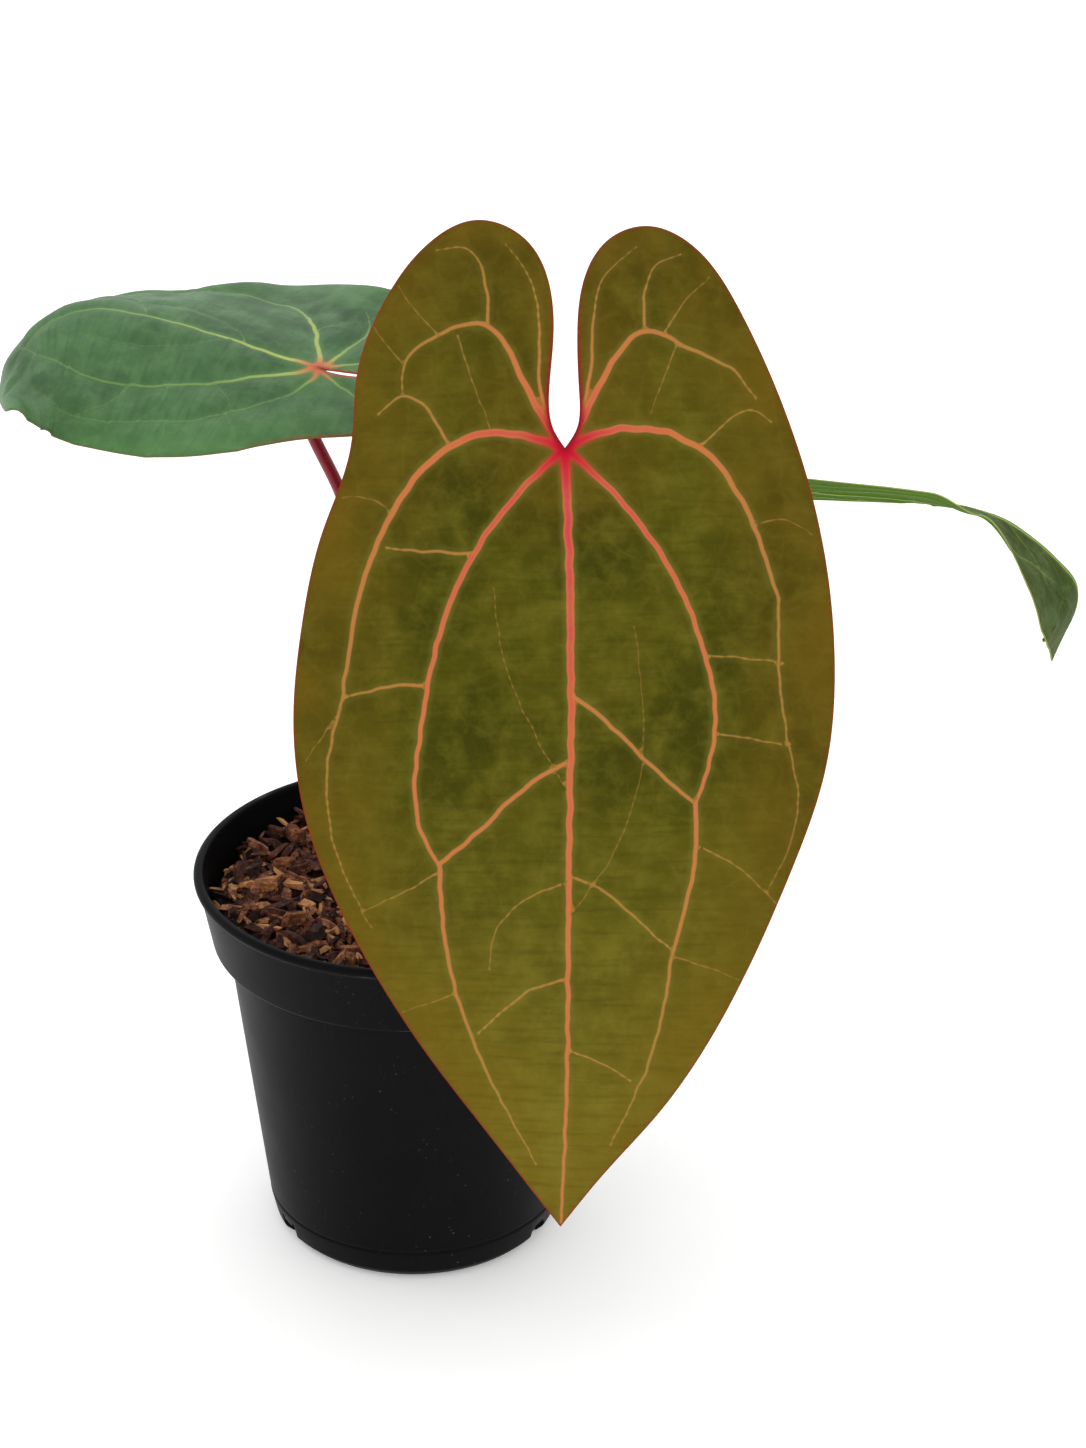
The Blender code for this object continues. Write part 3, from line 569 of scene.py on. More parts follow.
def blade_net(leaf):
    """Flat triangle mesh of a leaf: rows along its veins, a lattice between."""
    loop = blade_outline(leaf, OUTLINE_STEP)
    middles, edges, flanks = [], [], []
    for vein in leaf["veins"]:
        line, across, half, _ = vein_samples(vein, VEIN_STEP)
        middles.append(line)
        for sign in (1, -1):
            edges.append(line + across * (half * sign)[:, None])
            flanks.append(line + across * ((half + FLANK) * sign)[:, None])
    row = LATTICE_STEP * math.sqrt(3) / 2
    lattice = []
    for j, v in enumerate(np.arange(loop[:, 1].min(), loop[:, 1].max(), row)):
        shift = LATTICE_STEP / 2 * (j % 2)
        lattice += [(u + shift, v) for u in np.arange(-LATTICE_REACH, LATTICE_REACH,
                                                      LATTICE_STEP)]
    groups = [(loop, 0.0)]
    for points, gap in zip((middles, edges, flanks, [lattice]), GAPS):
        points = np.vstack(points)
        groups.append((points[inside(points, loop)], gap))
    points = [Vector(p) for p in spaced(groups)]
    border = [(k, (k + 1) % len(loop)) for k in range(len(loop))]
    keep_inside, merge_within = 1, 1e-5
    verts, _, faces, _, _, _ = delaunay_2d_cdt(points, border, [], keep_inside,
                                               merge_within)
    return np.array([tuple(v) for v in verts]), [tuple(f) for f in faces]


# %% Distances that the relief and the material both use
CHUNK = 600                    # points compared at a time, to spare memory
FINE_VEIN, FINE_RIM = 0.45, 0.4  # sample spacing for the distances, in mm


def in_chunks(flat):
    """The points in parts of about CHUNK each."""
    return np.array_split(flat, max(1, len(flat) // CHUNK))


def nearest_vein(flat, veins):
    """Distance outside the nearest vein, its vigour, and how deep tissue sinks."""
    line = np.vstack([v[0] for v in veins]).astype(np.float32)
    half = np.concatenate([v[2] for v in veins]).astype(np.float32)
    vigour = np.concatenate([v[3] for v in veins]).astype(np.float32)
    rib, power, sink = [], [], []
    for part in in_chunks(flat.astype(np.float32)):
        gap = np.linalg.norm(part[:, None] - line, axis=-1) - half
        best = gap.argmin(1)
        rib.append(gap[np.arange(len(part)), best])
        power.append(vigour[best])
        # a strong vein pulls the tissue down further, and over a wider strip
        depth = (0.3 + 0.7 * vigour) * np.exp(-np.maximum(gap, 0) / (2.0 + 2.5 * vigour))
        sink.append(depth.max(1))
    return [np.concatenate(values).astype(float) for values in (rib, power, sink)]


def rim_distance(flat, loop):
    """Distance of each point from the margin."""
    return np.concatenate([np.linalg.norm(part[:, None] - loop, axis=-1).min(1)
                           for part in in_chunks(flat)])


def blade_fields(leaf, flat):
    """What each point of the leaf knows about veins, margin and junction, in mm."""
    veins = [vein_samples(vein, FINE_VEIN) for vein in leaf["veins"]]
    rib, vigour, sink = nearest_vein(flat, veins)
    return {"rib": rib, "vigour": vigour, "sink": sink,
            "rim": rim_distance(flat, blade_outline(leaf, FINE_RIM)),
            "reach": np.linalg.norm(flat, axis=1)}


# %% Relief of the two faces
RELIEF = {  # mm that tissue swells between ribs, ripples, and waves at its margin
    "front": {"pillow": 0.9, "ripple": 0.25, "wave": 0.5},
    "left": {"pillow": 2.0, "ripple": 0.7, "wave": 0.7},
    "right": {"pillow": 0.6, "ripple": 0.25, "wave": 0.6},
}
RIPPLE_SIZE, WAVE_SIZE = 9.0, 34.0
RIPPLE_MARGIN, WAVE_REACH = 6.0, 14.0  # from the margin: ripples fade out, waves fade in
CALM_RADIUS = 14.0                     # round the junction the blade stays plain


def smooth_noise(flat, size, shift):
    """Soft noise in bumps of a size in mm; shift picks another pattern."""
    return np.array([noise.noise(Vector((u / size, v / size, shift))) for u, v in flat])


def relief(look, flat, fields):
    """Height in mm of the upper face and of the lower face over a plain sheet."""
    rib, vigour, rim = fields["rib"], fields["vigour"], fields["rim"]
    # a rib rises by 0.1 to 0.35 mm, over a slope 0.3 to 0.9 mm wide
    ridge = (0.1 + 0.25 * vigour) * np.clip(-rib / (0.3 + 0.6 * vigour), 0, 1)
    ripple = smooth_noise(flat, RIPPLE_SIZE, 3.1) * np.clip(rim / RIPPLE_MARGIN, 0, 1)
    wave = smooth_noise(flat, WAVE_SIZE, 8.7) * np.exp(-rim / WAVE_REACH)
    calm = np.clip(fields["reach"] / CALM_RADIUS, 0, 1)
    upper = look["pillow"] * (0.6 - fields["sink"]) * calm + ridge
    upper += look["wave"] * wave + look["ripple"] * ripple
    # below, ribs stand out up to 0.45 mm and the tissue follows the upper face
    lower = (0.1 + 0.35 * vigour) * np.clip(1 - rib / 1.2, 0, 1)
    return upper, lower - upper + ridge

# %% Closed blade mesh
def mesh_piece(name, verts, faces, smooth=True):
    """A new object whose mesh is given in millimetres, in place."""
    mesh = bpy.data.meshes.new(name)
    mesh.from_pydata([tuple(c * MM for c in v) for v in verts], [], faces)
    mesh.polygons.foreach_set("use_smooth", [smooth] * len(mesh.polygons))
    mesh.update()
    made = bpy.data.objects.new(name, mesh)
    bpy.context.collection.objects.link(made)
    return made


def store(piece, name, values):
    """Write one number for each point of a piece, under a name."""
    made = piece.data.attributes.new(name, "FLOAT", "POINT")
    made.data.foreach_set("value", np.asarray(values, np.float32))


def report(piece, node):
    """Print a piece's size beside the CAD node that it stands for."""
    mesh = piece.data
    points = np.empty(len(mesh.vertices) * 3)
    mesh.vertices.foreach_get("co", points)
    points = points.reshape(-1, 3)
    low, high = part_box(node)
    grown = max(np.max(np.array(low) - points.min(0)), np.max(points.max(0) - np.array(high)))
    mesh.calc_loop_triangles()
    print(piece.name, len(mesh.loop_triangles), "triangles,",
          round(grown / MM, 2), "mm past", node)


PROBE = 0.2       # step in mm that finds which way the sheet faces
THIN_RIM = 2.0    # mm from the margin in which the blade thins to half


def make_blade(side):
    """A closed leaf: both faces with their relief, joined round the margin."""
    leaf, surface = LEAVES[side], surfaces[side]
    flat, faces = blade_net(leaf)
    fields = blade_fields(leaf, flat)
    upper, lower = relief(RELIEF[side], flat, fields)
    u, v = flat[:, 0], flat[:, 1]
    middle = surface.at(u, v)
    along_u = surface.at(u + PROBE, v) - surface.at(u - PROBE, v)
    along_v = surface.at(u, v + PROBE) - surface.at(u, v - PROBE)
    normal = np.cross(along_u, along_v)
    normal /= np.linalg.norm(normal, axis=1)[:, None]
    half = BLADE_THICKNESS / 2 * (0.5 + 0.5 * np.clip(fields["rim"] / THIN_RIM, 0, 1))
    top = middle + normal * (half + upper)[:, None]
    bottom = middle - normal * (half + lower)[:, None]
    count = len(flat)
    solid = list(faces) + [tuple(k + count for k in f[::-1]) for f in faces]
    sides = {(a, b) for f in faces for a, b in zip(f, f[1:] + f[:1])}
    solid += [(b, a, a + count, b + count) for a, b in sides if (b, a) not in sides]
    piece = mesh_piece(f"leaf_{side}", np.vstack([top, bottom]), solid)
    for name, values in fields.items():
        store(piece, name, np.concatenate([values, values]))
    store(piece, "under", np.repeat((0, 1), count))
    store(piece, "along", np.concatenate([v, v]))
    store(piece, "across", np.concatenate([u, u]))
    report(piece, f"blade_{side}")
    return piece


blades = {side: make_blade(side) for side in LEAVES}

# %% [markdown]
# ### Velvet leaf tissue
#
# The upper side of this leaf is covered with tiny dome-shaped cells. They
# scatter light, so the surface looks like velvet, with a soft sheen and no sharp
# highlight. Ribs are bare and a little glossier. The colour is built in layers:
# broad patches, a faint net of fine veins, then the ribs, then the margin.

# %% Where each layer of the tissue shows
def tissue_masks(tree, c, coords, field):
    """Masks of the tissue between the ribs."""
    # broad patches and small mottling
    patch = add(tree, "ShaderNodeTexNoise", {"Vector": coords, "Scale": per_size(40),
                                             "Detail": 3.0})
    patch = add(tree, "ShaderNodeMapRange", {0: patch, 1: 0.38, 2: 0.62})
    mottle = add(tree, "ShaderNodeTexNoise", {"Vector": coords, "Scale": per_size(7),
                                              "Detail": 6.0, "Roughness": 0.6})
    mottle = add(tree, "ShaderNodeMapRange", {0: mottle, 1: 0.42, 2: 0.78, 4: 0.75})
    # towards the tip the colour changes: lighter on the front leaf, and a painted shade on the
    # right leaf's folded, hanging tip
    tip = add(tree, "ShaderNodeMapRange", {0: field["along"], 1: c["tip_from"],
                                           2: c["tip_to"], 4: c["tip_amount"]})
    # faint streaks that cross the leaf, about 1.5 mm apart
    u = add(tree, "ShaderNodeMath", {0: field["across"], 1: 0.06}, operation="MULTIPLY")
    v = add(tree, "ShaderNodeMath", {0: field["along"], 1: 0.65}, operation="MULTIPLY")
    lie = add(tree, "ShaderNodeCombineXYZ", {"X": u, "Y": v})
    streak = add(tree, "ShaderNodeTexNoise", {"Vector": lie, "Scale": 1.0, "Detail": 3.0})
    streak = add(tree, "ShaderNodeMapRange", {0: streak, 1: 0.48, 2: 0.7, 4: 0.35})
    # older tissue near the margin
    edge = add(tree, "ShaderNodeMapRange", {0: field["rim"], 1: c["edge_width"], 2: 0.0})
    blotch = add(tree, "ShaderNodeTexNoise", {"Vector": coords, "Scale": per_size(20)})
    edge = add(tree, "ShaderNodeMath", {0: edge, 1: blotch}, operation="MULTIPLY")
    edge = add(tree, "ShaderNodeMath", {0: edge, 1: c["edge_amount"]}, operation="MULTIPLY")
    # paler tissue beside the strong ribs
    halo = add(tree, "ShaderNodeMapRange", {0: field["rib"], 1: 1.5, 2: 0.0,
                                            4: c["halo_amount"]})
    halo = add(tree, "ShaderNodeMath", {0: halo, 1: field["vigour"]}, operation="MULTIPLY")
    return {"patch": patch, "mottle": mottle, "tip": tip, "streak": streak,
            "edge": edge, "halo": halo}


def vein_net(tree, c, coords):
    """Mask of the finest veins: a net of cells 10 mm and 3 mm across."""
    sway = add(tree, "ShaderNodeTexNoise", {"Vector": coords, "Scale": per_size(7)}, "Color")
    bent = add(tree, "ShaderNodeMix", {0: 0.004, 6: coords, 7: sway}, 2,
               data_type="RGBA", blend_type="ADD")
    lines = []
    for cell, width, amount in ((10.0, 0.07, c["net"]), (3.0, 0.12, c["net"] * 0.45)):
        gap = add(tree, "ShaderNodeTexVoronoi", {"Vector": bent, "Scale": per_size(cell)},
                  "Distance", feature="DISTANCE_TO_EDGE")
        lines.append(add(tree, "ShaderNodeMapRange", {0: gap, 1: width, 2: 0.0, 4: amount},
                         interpolation_type="SMOOTHSTEP"))
    return add(tree, "ShaderNodeMath", {0: lines[0], 1: lines[1]}, operation="MAXIMUM")


# %% Where ribs and margin show
def rib_masks(tree, c, field, mottle):
    """Masks of the ribs: fade, core and grain colour them, heart is their root."""
    fade = add(tree, "ShaderNodeMapRange", {0: field["vigour"], 1: 0.35, 2: 0.95})
    core = add(tree, "ShaderNodeMapRange", {0: field["rib"], 1: -0.05, 2: -0.7})
    strong = add(tree, "ShaderNodeMapRange", {0: field["vigour"], 1: 0.8, 2: 1.0})
    core = add(tree, "ShaderNodeMath", {0: core, 1: strong}, operation="MULTIPLY")
    grain = add(tree, "ShaderNodeMapRange", {0: mottle, 1: 0.0, 2: 0.75, 3: 0.0, 4: 0.3})
    rib = add(tree, "ShaderNodeMapRange", {0: field["rib"], 1: 0.16, 2: -0.14})
    strength = add(tree, "ShaderNodeMapRange", {0: field["vigour"], 1: 0.0, 2: 0.8,
                                                3: c["rib_far_amount"], 4: 1.0})
    rib = add(tree, "ShaderNodeMath", {0: rib, 1: strength}, operation="MULTIPLY")
    heart = add(tree, "ShaderNodeMapRange", {0: field["reach"], 1: c["heart_size"], 2: 1.5})
    on_rib = add(tree, "ShaderNodeMapRange", {0: field["rib"], 1: 0.8, 2: -0.1})
    heart = add(tree, "ShaderNodeMath", {0: heart, 1: on_rib}, operation="MULTIPLY")
    return {"fade": fade, "core": core, "grain": grain, "rib": rib, "heart": heart}


def margin_masks(tree, c, field):
    """Masks of the thin margin line, and of the notch beside the junction."""
    line = add(tree, "ShaderNodeMapRange", {0: field["rim"], 1: c["line_width"], 2: 0.15,
                                            4: c["line_amount"]})
    notch = add(tree, "ShaderNodeMapRange", {0: field["rim"], 1: 1.6, 2: 0.5})
    deep_in = add(tree, "ShaderNodeMapRange", {0: field["reach"], 1: 40.0, 2: 10.0, 4: 0.9})
    notch = add(tree, "ShaderNodeMath", {0: notch, 1: deep_in}, operation="MULTIPLY")
    return {"line": line, "notch": notch}


# %% Material of the blades
def velvet_tissue(name, c):
    """Velvety leaf tissue: matt with a soft sheen, and glossier bare ribs."""
    made, tree, shader = new_material(name, {
        "Sheen Weight": c["sheen"], "Sheen Roughness": 0.4,
        "Sheen Tint": linear(c["sheen_tint"]), "IOR": 1.42,
        "Specular IOR Level": c["gloss"]})
    coords = add(tree, "ShaderNodeTexCoord", out="Object")
    field = {key: add(tree, "ShaderNodeAttribute", out="Fac", attribute_name=key)
             for key in ("rib", "vigour", "rim", "under", "along", "across", "reach")}
    show = tissue_masks(tree, c, coords, field)
    show["net"] = vein_net(tree, c, coords)
    show |= rib_masks(tree, c, field, show["mottle"])
    show |= margin_masks(tree, c, field)
    # tip colours: a lighter tone on the front leaf, painted shade on the right leaf's folded
    # tip
    tip_tone_and_shade = layered(tree, c["tip"], [(show["mottle"], c["tip_light"])])
    rib_color = layered(tree, c["rib_far"], [
        (show["fade"], c["rib"]), (show["core"], c["rib_core"]),
        (show["grain"], c["rib_far"])])
    color = layered(tree, c["deep"], [
        (show["patch"], c["body"]), (show["mottle"], c["light"]), (show["tip"], tip_tone_and_shade),
        (show["streak"], c["deep"]), (show["edge"], c["edge"]),
        (show["net"], c["net_color"]), (show["halo"], c["halo"]),
        (field["under"], c["under"]), (show["rib"], rib_color),
        (show["heart"], c["heart"]), (show["line"], c["line"]), (show["notch"], c["notch"])])
    rough = add(tree, "ShaderNodeMapRange", {0: show["mottle"], 3: c["rough"] + 0.08,
                                             4: c["rough"]})
    rough = add(tree, "ShaderNodeMix", {0: show["rib"], 2: rough, 3: 0.45})
    # the domed cells are finer than shows, so they are drawn 0.6 mm wide
    cells = add(tree, "ShaderNodeTexNoise", {"Vector": coords, "Scale": per_size(0.6),
                                             "Detail": 2.0})
    height = add(tree, "ShaderNodeMath", {0: show["net"], 1: -1.5, 2: cells},
                 operation="MULTIPLY_ADD")
    height = add(tree, "ShaderNodeMath", {0: show["streak"], 1: -0.6, 2: height},
                 operation="MULTIPLY_ADD")
    wire_shader(tree, shader, color, rough, height, 0.4, 0.3)
    return made


# %% Colours of the three leaves
# Entries that end in _from, _to, _width and _size are in mm. An amount is how
# much of its layer shows at most; the edge's is cut down by its own blotches.
LEAF_COLORS = {
    "front": {
        "deep": "#383803", "body": "#4e4b08", "light": "#6a641a",
        "tip": "#766b1c", "tip_light": "#857a2a", "tip_from": 90.0, "tip_to": 180.0,
        "tip_amount": 0.8,
        "edge": "#68500e", "edge_width": 30.0, "edge_amount": 1.15,
        "net": 0.06, "net_color": "#8a7430", "halo": "#757030", "halo_amount": 0.45,
        "under": "#6f7c4c", "rib": "#c8643f", "rib_far": "#b5833e", "rib_core": "#c63a4c",
        "rib_far_amount": 0.36, "heart": "#bb0a28", "heart_size": 13.0,
        "line": "#8c3518", "line_width": 0.7, "line_amount": 0.9, "notch": "#8c1020",
        "sheen": 0.02, "sheen_tint": "#b8b070", "rough": 0.6, "gloss": 0.07},
    "left": {
        "deep": "#2b4a28", "body": "#42693d", "light": "#608655",
        "tip": "#416a3a", "tip_light": "#5a7e50", "tip_from": 70.0, "tip_to": 100.0,
        "tip_amount": 0.5,
        "edge": "#4a7a38", "edge_width": 16.0, "edge_amount": 0.9,
        "net": 0.06, "net_color": "#66905a", "halo": "#628c50", "halo_amount": 0.4,
        "under": "#6d9454", "rib": "#a9b65a", "rib_far": "#7fa258", "rib_core": "#b4c06a",
        "rib_far_amount": 0.08, "heart": "#c9603c", "heart_size": 8.0,
        "line": "#6e5a34", "line_width": 0.5, "line_amount": 0.8, "notch": "#a04028",
        "sheen": 0.08, "sheen_tint": "#a8c8b8", "rough": 0.46, "gloss": 0.3},
    "right": {
        "deep": "#3d5e08", "body": "#4b7208", "light": "#5f8420",
        # these tip colours are painted shade: the right leaf's folded, hanging tip is painted
        # dark olive, mottled greyer
        "tip": "#37451c", "tip_light": "#5a6c44", "tip_from": 58.0, "tip_to": 74.0,
        "tip_amount": 1.0,
        "edge": "#5a5c20", "edge_width": 9.0, "edge_amount": 0.4,
        "net": 0.08, "net_color": "#7e9850", "halo": "#7c9650", "halo_amount": 0.3,
        "under": "#4b7008", "rib": "#98a854", "rib_far": "#7c984a", "rib_core": "#a8b468",
        "rib_far_amount": 0.12, "heart": "#b8583c", "heart_size": 8.0,
        "line": "#a8b060", "line_width": 0.6, "line_amount": 0.8, "notch": "#a04028",
        "sheen": 0.0, "sheen_tint": "#b0c8a0", "rough": 0.56, "gloss": 0.05},
}

for side, blade in blades.items():
    blade.data.materials.append(velvet_tissue(f"velvet_leaf_{side}", LEAF_COLORS[side]))
    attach(blade, "root")
    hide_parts(f"blade_{side}")
print("leaf tissue set on", ", ".join(b.name for b in blades.values()))

# %% [markdown]
# ## Step 4: petioles
#
# A petiole is the stalk of a leaf. It is round, smooth and deep red, and it ends
# in a swollen joint that can turn the blade to the light. A curve with a bevel
# would do, but a tube of rings lets the thickness, the shallow groove on the
# upper side and the joint's fine folds all follow the length.

# %% Petiole tubes
PETIOLE_SEAT = 3.2    # mm along the midrib where the stalk's end sits
SEAT_DEPTH = 0.15     # mm that the end goes into the blade
JOINT_LENGTH = 14.0   # the swollen joint under the blade
TUBE_SIDES = 28
TUBE_STEP = 1.2
GROOVE_DEPTH, GROOVE_WIDTH = 0.10, 0.45  # share of the radius, radians
FOLD_DEPTH, FOLD_RATE = 0.035, 4.4       # share of the radius, radians per mm


def tube(path, radii, first, last):
    """Rings of points round a path in mm; first and last aim the two caps."""
    path = [Vector(p) for p in path]
    final = len(path) - 1
    verts, across = [], None
    for k, point in enumerate(path):
        ahead = (path[min(k + 1, final)] - path[max(k - 1, 0)]).normalized()
        ahead = {0: first, final: last}.get(k, ahead)
        across = across or ahead.orthogonal().normalized()
        across = (across - ahead * across.dot(ahead)).normalized()
        side = ahead.cross(across)
        for j in range(TUBE_SIDES):
            turn = 2 * math.pi * j / TUBE_SIDES
            dent = GROOVE_DEPTH * math.exp(-((turn - math.pi) / GROOVE_WIDTH) ** 2)
            offset = across * math.cos(turn) + side * math.sin(turn)
            verts.append(point + offset * radii[k] * (1 - dent))
    n = TUBE_SIDES
    faces = [(k * n + j, k * n + (j + 1) % n, (k + 1) * n + (j + 1) % n, (k + 1) * n + j)
             for k in range(final) for j in range(n)]
    faces += [tuple(range(n))[::-1], tuple(final * n + j for j in range(n))]
    return verts, faces


def petiole_end(side):
    """Where a stalk stops under its blade, and the way its end cap faces."""
    surface = surfaces[side]
    seat, ahead, plus, minus = (
        Vector(surface.at(u, v)) for u, v in
        ((0, PETIOLE_SEAT), (0, PETIOLE_SEAT + 1), (2, PETIOLE_SEAT), (-2, PETIOLE_SEAT)))
    facing = (ahead - seat).cross(minus - plus).normalized()
    if facing.dot(Vector(LEAVES[side]["facing"])) < 0:
        facing = -facing
    return seat - facing * (BLADE_THICKNESS / 2 - SEAT_DEPTH), facing


def make_petiole(side):
    """A stalk from the crown to its blade: thick foot, slim middle, swollen joint."""
    end, facing = petiole_end(side)
    low = facing * JOINT_LENGTH * 0.6
    points = [(x, y, z + CROWN) for x, y, z in LEAVES[side]["petiole"]]
    curve, knots = spline(points + [tuple(end - low), tuple(end)])
    length = knots[-1]
    t = np.linspace(0, length, int(length / TUBE_STEP))
    joint = length - JOINT_LENGTH
    stations = ((0, 2.7), (3, 2.75), (12, 2.2), (30, 1.75), (joint - 3, 1.72), (joint, 1.95),
                (joint + 3, 2.3), (length - 3, 2.3), (length, 1.9))
    radii = np.interp(t, *zip(*stations))
    folds = FOLD_DEPTH * np.sin(t * FOLD_RATE) * np.clip((t - joint) / 3, 0, 1)
    verts, faces = tube(curve(t), radii * (1 + folds), Vector((0, 0, 1)), facing)
    piece = mesh_piece(f"stalk_{side}", verts, faces)
    store(piece, "along", np.repeat(t / length, TUBE_SIDES))
    report(piece, f"petiole_{side}")
    return piece


petioles = {side: make_petiole(side) for side in LEAVES}


# %% Material of the petioles
def red_rind(name):
    """Smooth plant rind: glossy, red from pigment, greener at the foot."""
    made, tree, shader = new_material(name, {"IOR": 1.45,
                                             "Specular IOR Level": 0.35})
    coords = add(tree, "ShaderNodeTexCoord", out="Object")
    along = add(tree, "ShaderNodeAttribute", out="Fac", attribute_name="along")
    cloud = add(tree, "ShaderNodeTexNoise", {"Vector": coords, "Scale": per_size(5)})
    foot = add(tree, "ShaderNodeMapRange", {0: along, 1: 0.22, 2: 0.0, 4: 0.75})
    top = add(tree, "ShaderNodeMapRange", {0: along, 1: 0.93, 2: 1.0, 4: 0.8})
    # small pale pores
    dots = add(tree, "ShaderNodeTexVoronoi", {"Vector": coords, "Scale": per_size(1.4)},
               "Distance")
    dots = add(tree, "ShaderNodeMapRange", {0: dots, 1: 0.22, 2: 0.1, 4: 0.45})
    color = layered(tree, "#6e0318", [(cloud, "#9c0c28"), (foot, "#6d5a2c"),
                                      (top, "#a8102a"), (dots, "#c05a50")])
    rough = add(tree, "ShaderNodeMapRange", {0: cloud, 3: 0.28, 4: 0.42})
    grain = add(tree, "ShaderNodeTexNoise", {"Vector": coords, "Scale": per_size(0.8)})
    wire_shader(tree, shader, color, rough, grain, 0.2, 0.1)
    return made


rind = red_rind("glossy_red_rind")
for side, stalk in petioles.items():
    stalk.data.materials.append(rind)
    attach(stalk, "root")
    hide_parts(f"petiole_{side}")
print("petioles done")

# %% [markdown]
# ## Step 5: the nursery pot
#
# The pot is injection moulded in one piece: a thin tapered wall, a wider collar
# that lets pots stack, a rolled lip and drainage slots at the foot. Half of its
# section, turned round the axis, gives the whole shape. Each corner of the
# section gets a small round, because moulded plastic has no sharp corners and
# those rounds carry the fine bright lines that we see.

# %% Pot sizes in millimetres
RIM_RADIUS, POT_HEIGHT = 60.0, 111.0
COLLAR_HEIGHT, COLLAR_BOTTOM_RADIUS = 21.4, 55.3
WALL_TOP_RADIUS, WALL_THICKNESS = 51.1, 1.2
FOOT_RADIUS, FOOT_HEIGHT, BASE_RADIUS = 41.8, 9.8, 37.7
LIP_WIDTH, LIP_DEPTH, FLOOR_THICKNESS = 2.8, 1.6, 1.8
SLOT_COUNT, SLOT_WIDTH, SLOT_HEIGHT, SLOT_DEPTH = 3, 7.0, 6.0, 9.0
CORNER_ROUND, SLOT_ROUND = 0.7, 1.2
TURNS = 180  # steps round the pot


def rounded(section, radius):
    """The section with each inner corner replaced by a short curve."""
    points = [np.array(p, float) for p in section]
    result = [points[0]]
    for before, corner, after in zip(points, points[1:], points[2:]):
        ends = []
        for other in (before, after):
            gap = np.linalg.norm(other - corner)
            ends.append(corner + (other - corner) * min(radius / gap, 0.45))
        for s in (0, 0.25, 0.5, 0.75, 1):
            result.append(ends[0] * (1 - s) ** 2 + corner * 2 * s * (1 - s) + ends[1] * s * s)
    return result + [points[-1]]


def turned(name, section, count=TURNS):
    """Spin a section (radius, height) that starts and ends on the axis."""
    rings = section[1:-1]
    angles = np.arange(count) * 2 * math.pi / count
    verts = [(0, 0, section[0][1])]
    verts += [(r * math.cos(a), r * math.sin(a), z) for r, z in rings for a in angles]
    verts.append((0, 0, section[-1][1]))
    faces = []
    for j in range(count):
        n = (j + 1) % count
        faces.append((0, 1 + n, 1 + j))
        last = 1 + (len(rings) - 1) * count
        faces.append((len(verts) - 1, last + j, last + n))
        for k in range(len(rings) - 1):
            a, b = 1 + k * count, 1 + (k + 1) * count
            faces.append((a + j, a + n, b + n, b + j))
    return mesh_piece(name, verts, faces)


collar_bottom = POT_HEIGHT - COLLAR_HEIGHT
outer = [(0, 0.8), (BASE_RADIUS - 6, 0.8), (BASE_RADIUS - 4.5, 0), (BASE_RADIUS, 0),
         (BASE_RADIUS + 2.6, 2.6), (FOOT_RADIUS, FOOT_HEIGHT - 0.5),
         (FOOT_RADIUS - 0.35, FOOT_HEIGHT), (FOOT_RADIUS + 0.05, FOOT_HEIGHT + 0.7),
         (WALL_TOP_RADIUS, collar_bottom - 0.6), (COLLAR_BOTTOM_RADIUS - 0.8, collar_bottom),
         (COLLAR_BOTTOM_RADIUS, collar_bottom + 0.8),
         (RIM_RADIUS - 1.3, POT_HEIGHT - LIP_DEPTH - 1.2),
         (RIM_RADIUS - 0.1, POT_HEIGHT - LIP_DEPTH - 0.4), (RIM_RADIUS, POT_HEIGHT - 0.9),
         (RIM_RADIUS - 0.9, POT_HEIGHT), (RIM_RADIUS - LIP_WIDTH + 0.4, POT_HEIGHT)]
inner = [(RIM_RADIUS - LIP_WIDTH, POT_HEIGHT - 0.8),
         (COLLAR_BOTTOM_RADIUS - WALL_THICKNESS, collar_bottom + 2.4),
         (WALL_TOP_RADIUS - WALL_THICKNESS, collar_bottom + 0.4),
         (FOOT_RADIUS - WALL_THICKNESS + 0.2, FOOT_HEIGHT + 2),
         (BASE_RADIUS + 2.0 - WALL_THICKNESS, FLOOR_THICKNESS + 2),
         (BASE_RADIUS - WALL_THICKNESS, FLOOR_THICKNESS), (0, FLOOR_THICKNESS)]
pot = turned("pot_shell", rounded(outer + inner, CORNER_ROUND))
report(pot, "nursery_pot")


# %% Drainage slots
def slot_cutter(k):
    """A block with soft edges, across the foot of the wall."""
    turn = math.pi / 2 + 2 * math.pi * k / SLOT_COUNT
    work = bmesh.new()
    bmesh.ops.create_cube(work, size=1)
    size = Matrix.Diagonal((SLOT_DEPTH * MM, SLOT_WIDTH * MM, 2 * SLOT_HEIGHT * MM, 1))
    place = Matrix.Translation(((BASE_RADIUS + 2) * MM, 0, 0))
    work.transform(Matrix.Rotation(turn, 4, "Z") @ place @ size)
    level = [e for e in work.edges if abs(e.verts[0].co.z - e.verts[1].co.z) < MM]
    bmesh.ops.bevel(work, geom=level, offset=SLOT_ROUND * MM, segments=4, affect="EDGES")
    mesh = bpy.data.meshes.new("slot_cutter")
    work.to_mesh(mesh)
    work.free()
    made = bpy.data.objects.new("slot_cutter", mesh)
    bpy.context.collection.objects.link(made)
    return made


def frozen(piece):
    """Swap a piece's mesh for the result of its modifiers, then drop them."""
    deps = bpy.context.evaluated_depsgraph_get()
    deps.update()
    result = bpy.data.meshes.new_from_object(piece.evaluated_get(deps))
    piece.modifiers.clear()
    piece.data = result


cutters = [slot_cutter(k) for k in range(SLOT_COUNT)]
for cutter in cutters:
    step = pot.modifiers.new(cutter.name, "BOOLEAN")
    step.operation, step.solver, step.object = "DIFFERENCE", "EXACT", cutter
frozen(pot)
for cutter in cutters:
    bpy.data.objects.remove(cutter)
print("pot shell has", len(pot.data.polygons), "faces and", SLOT_COUNT, "slots")


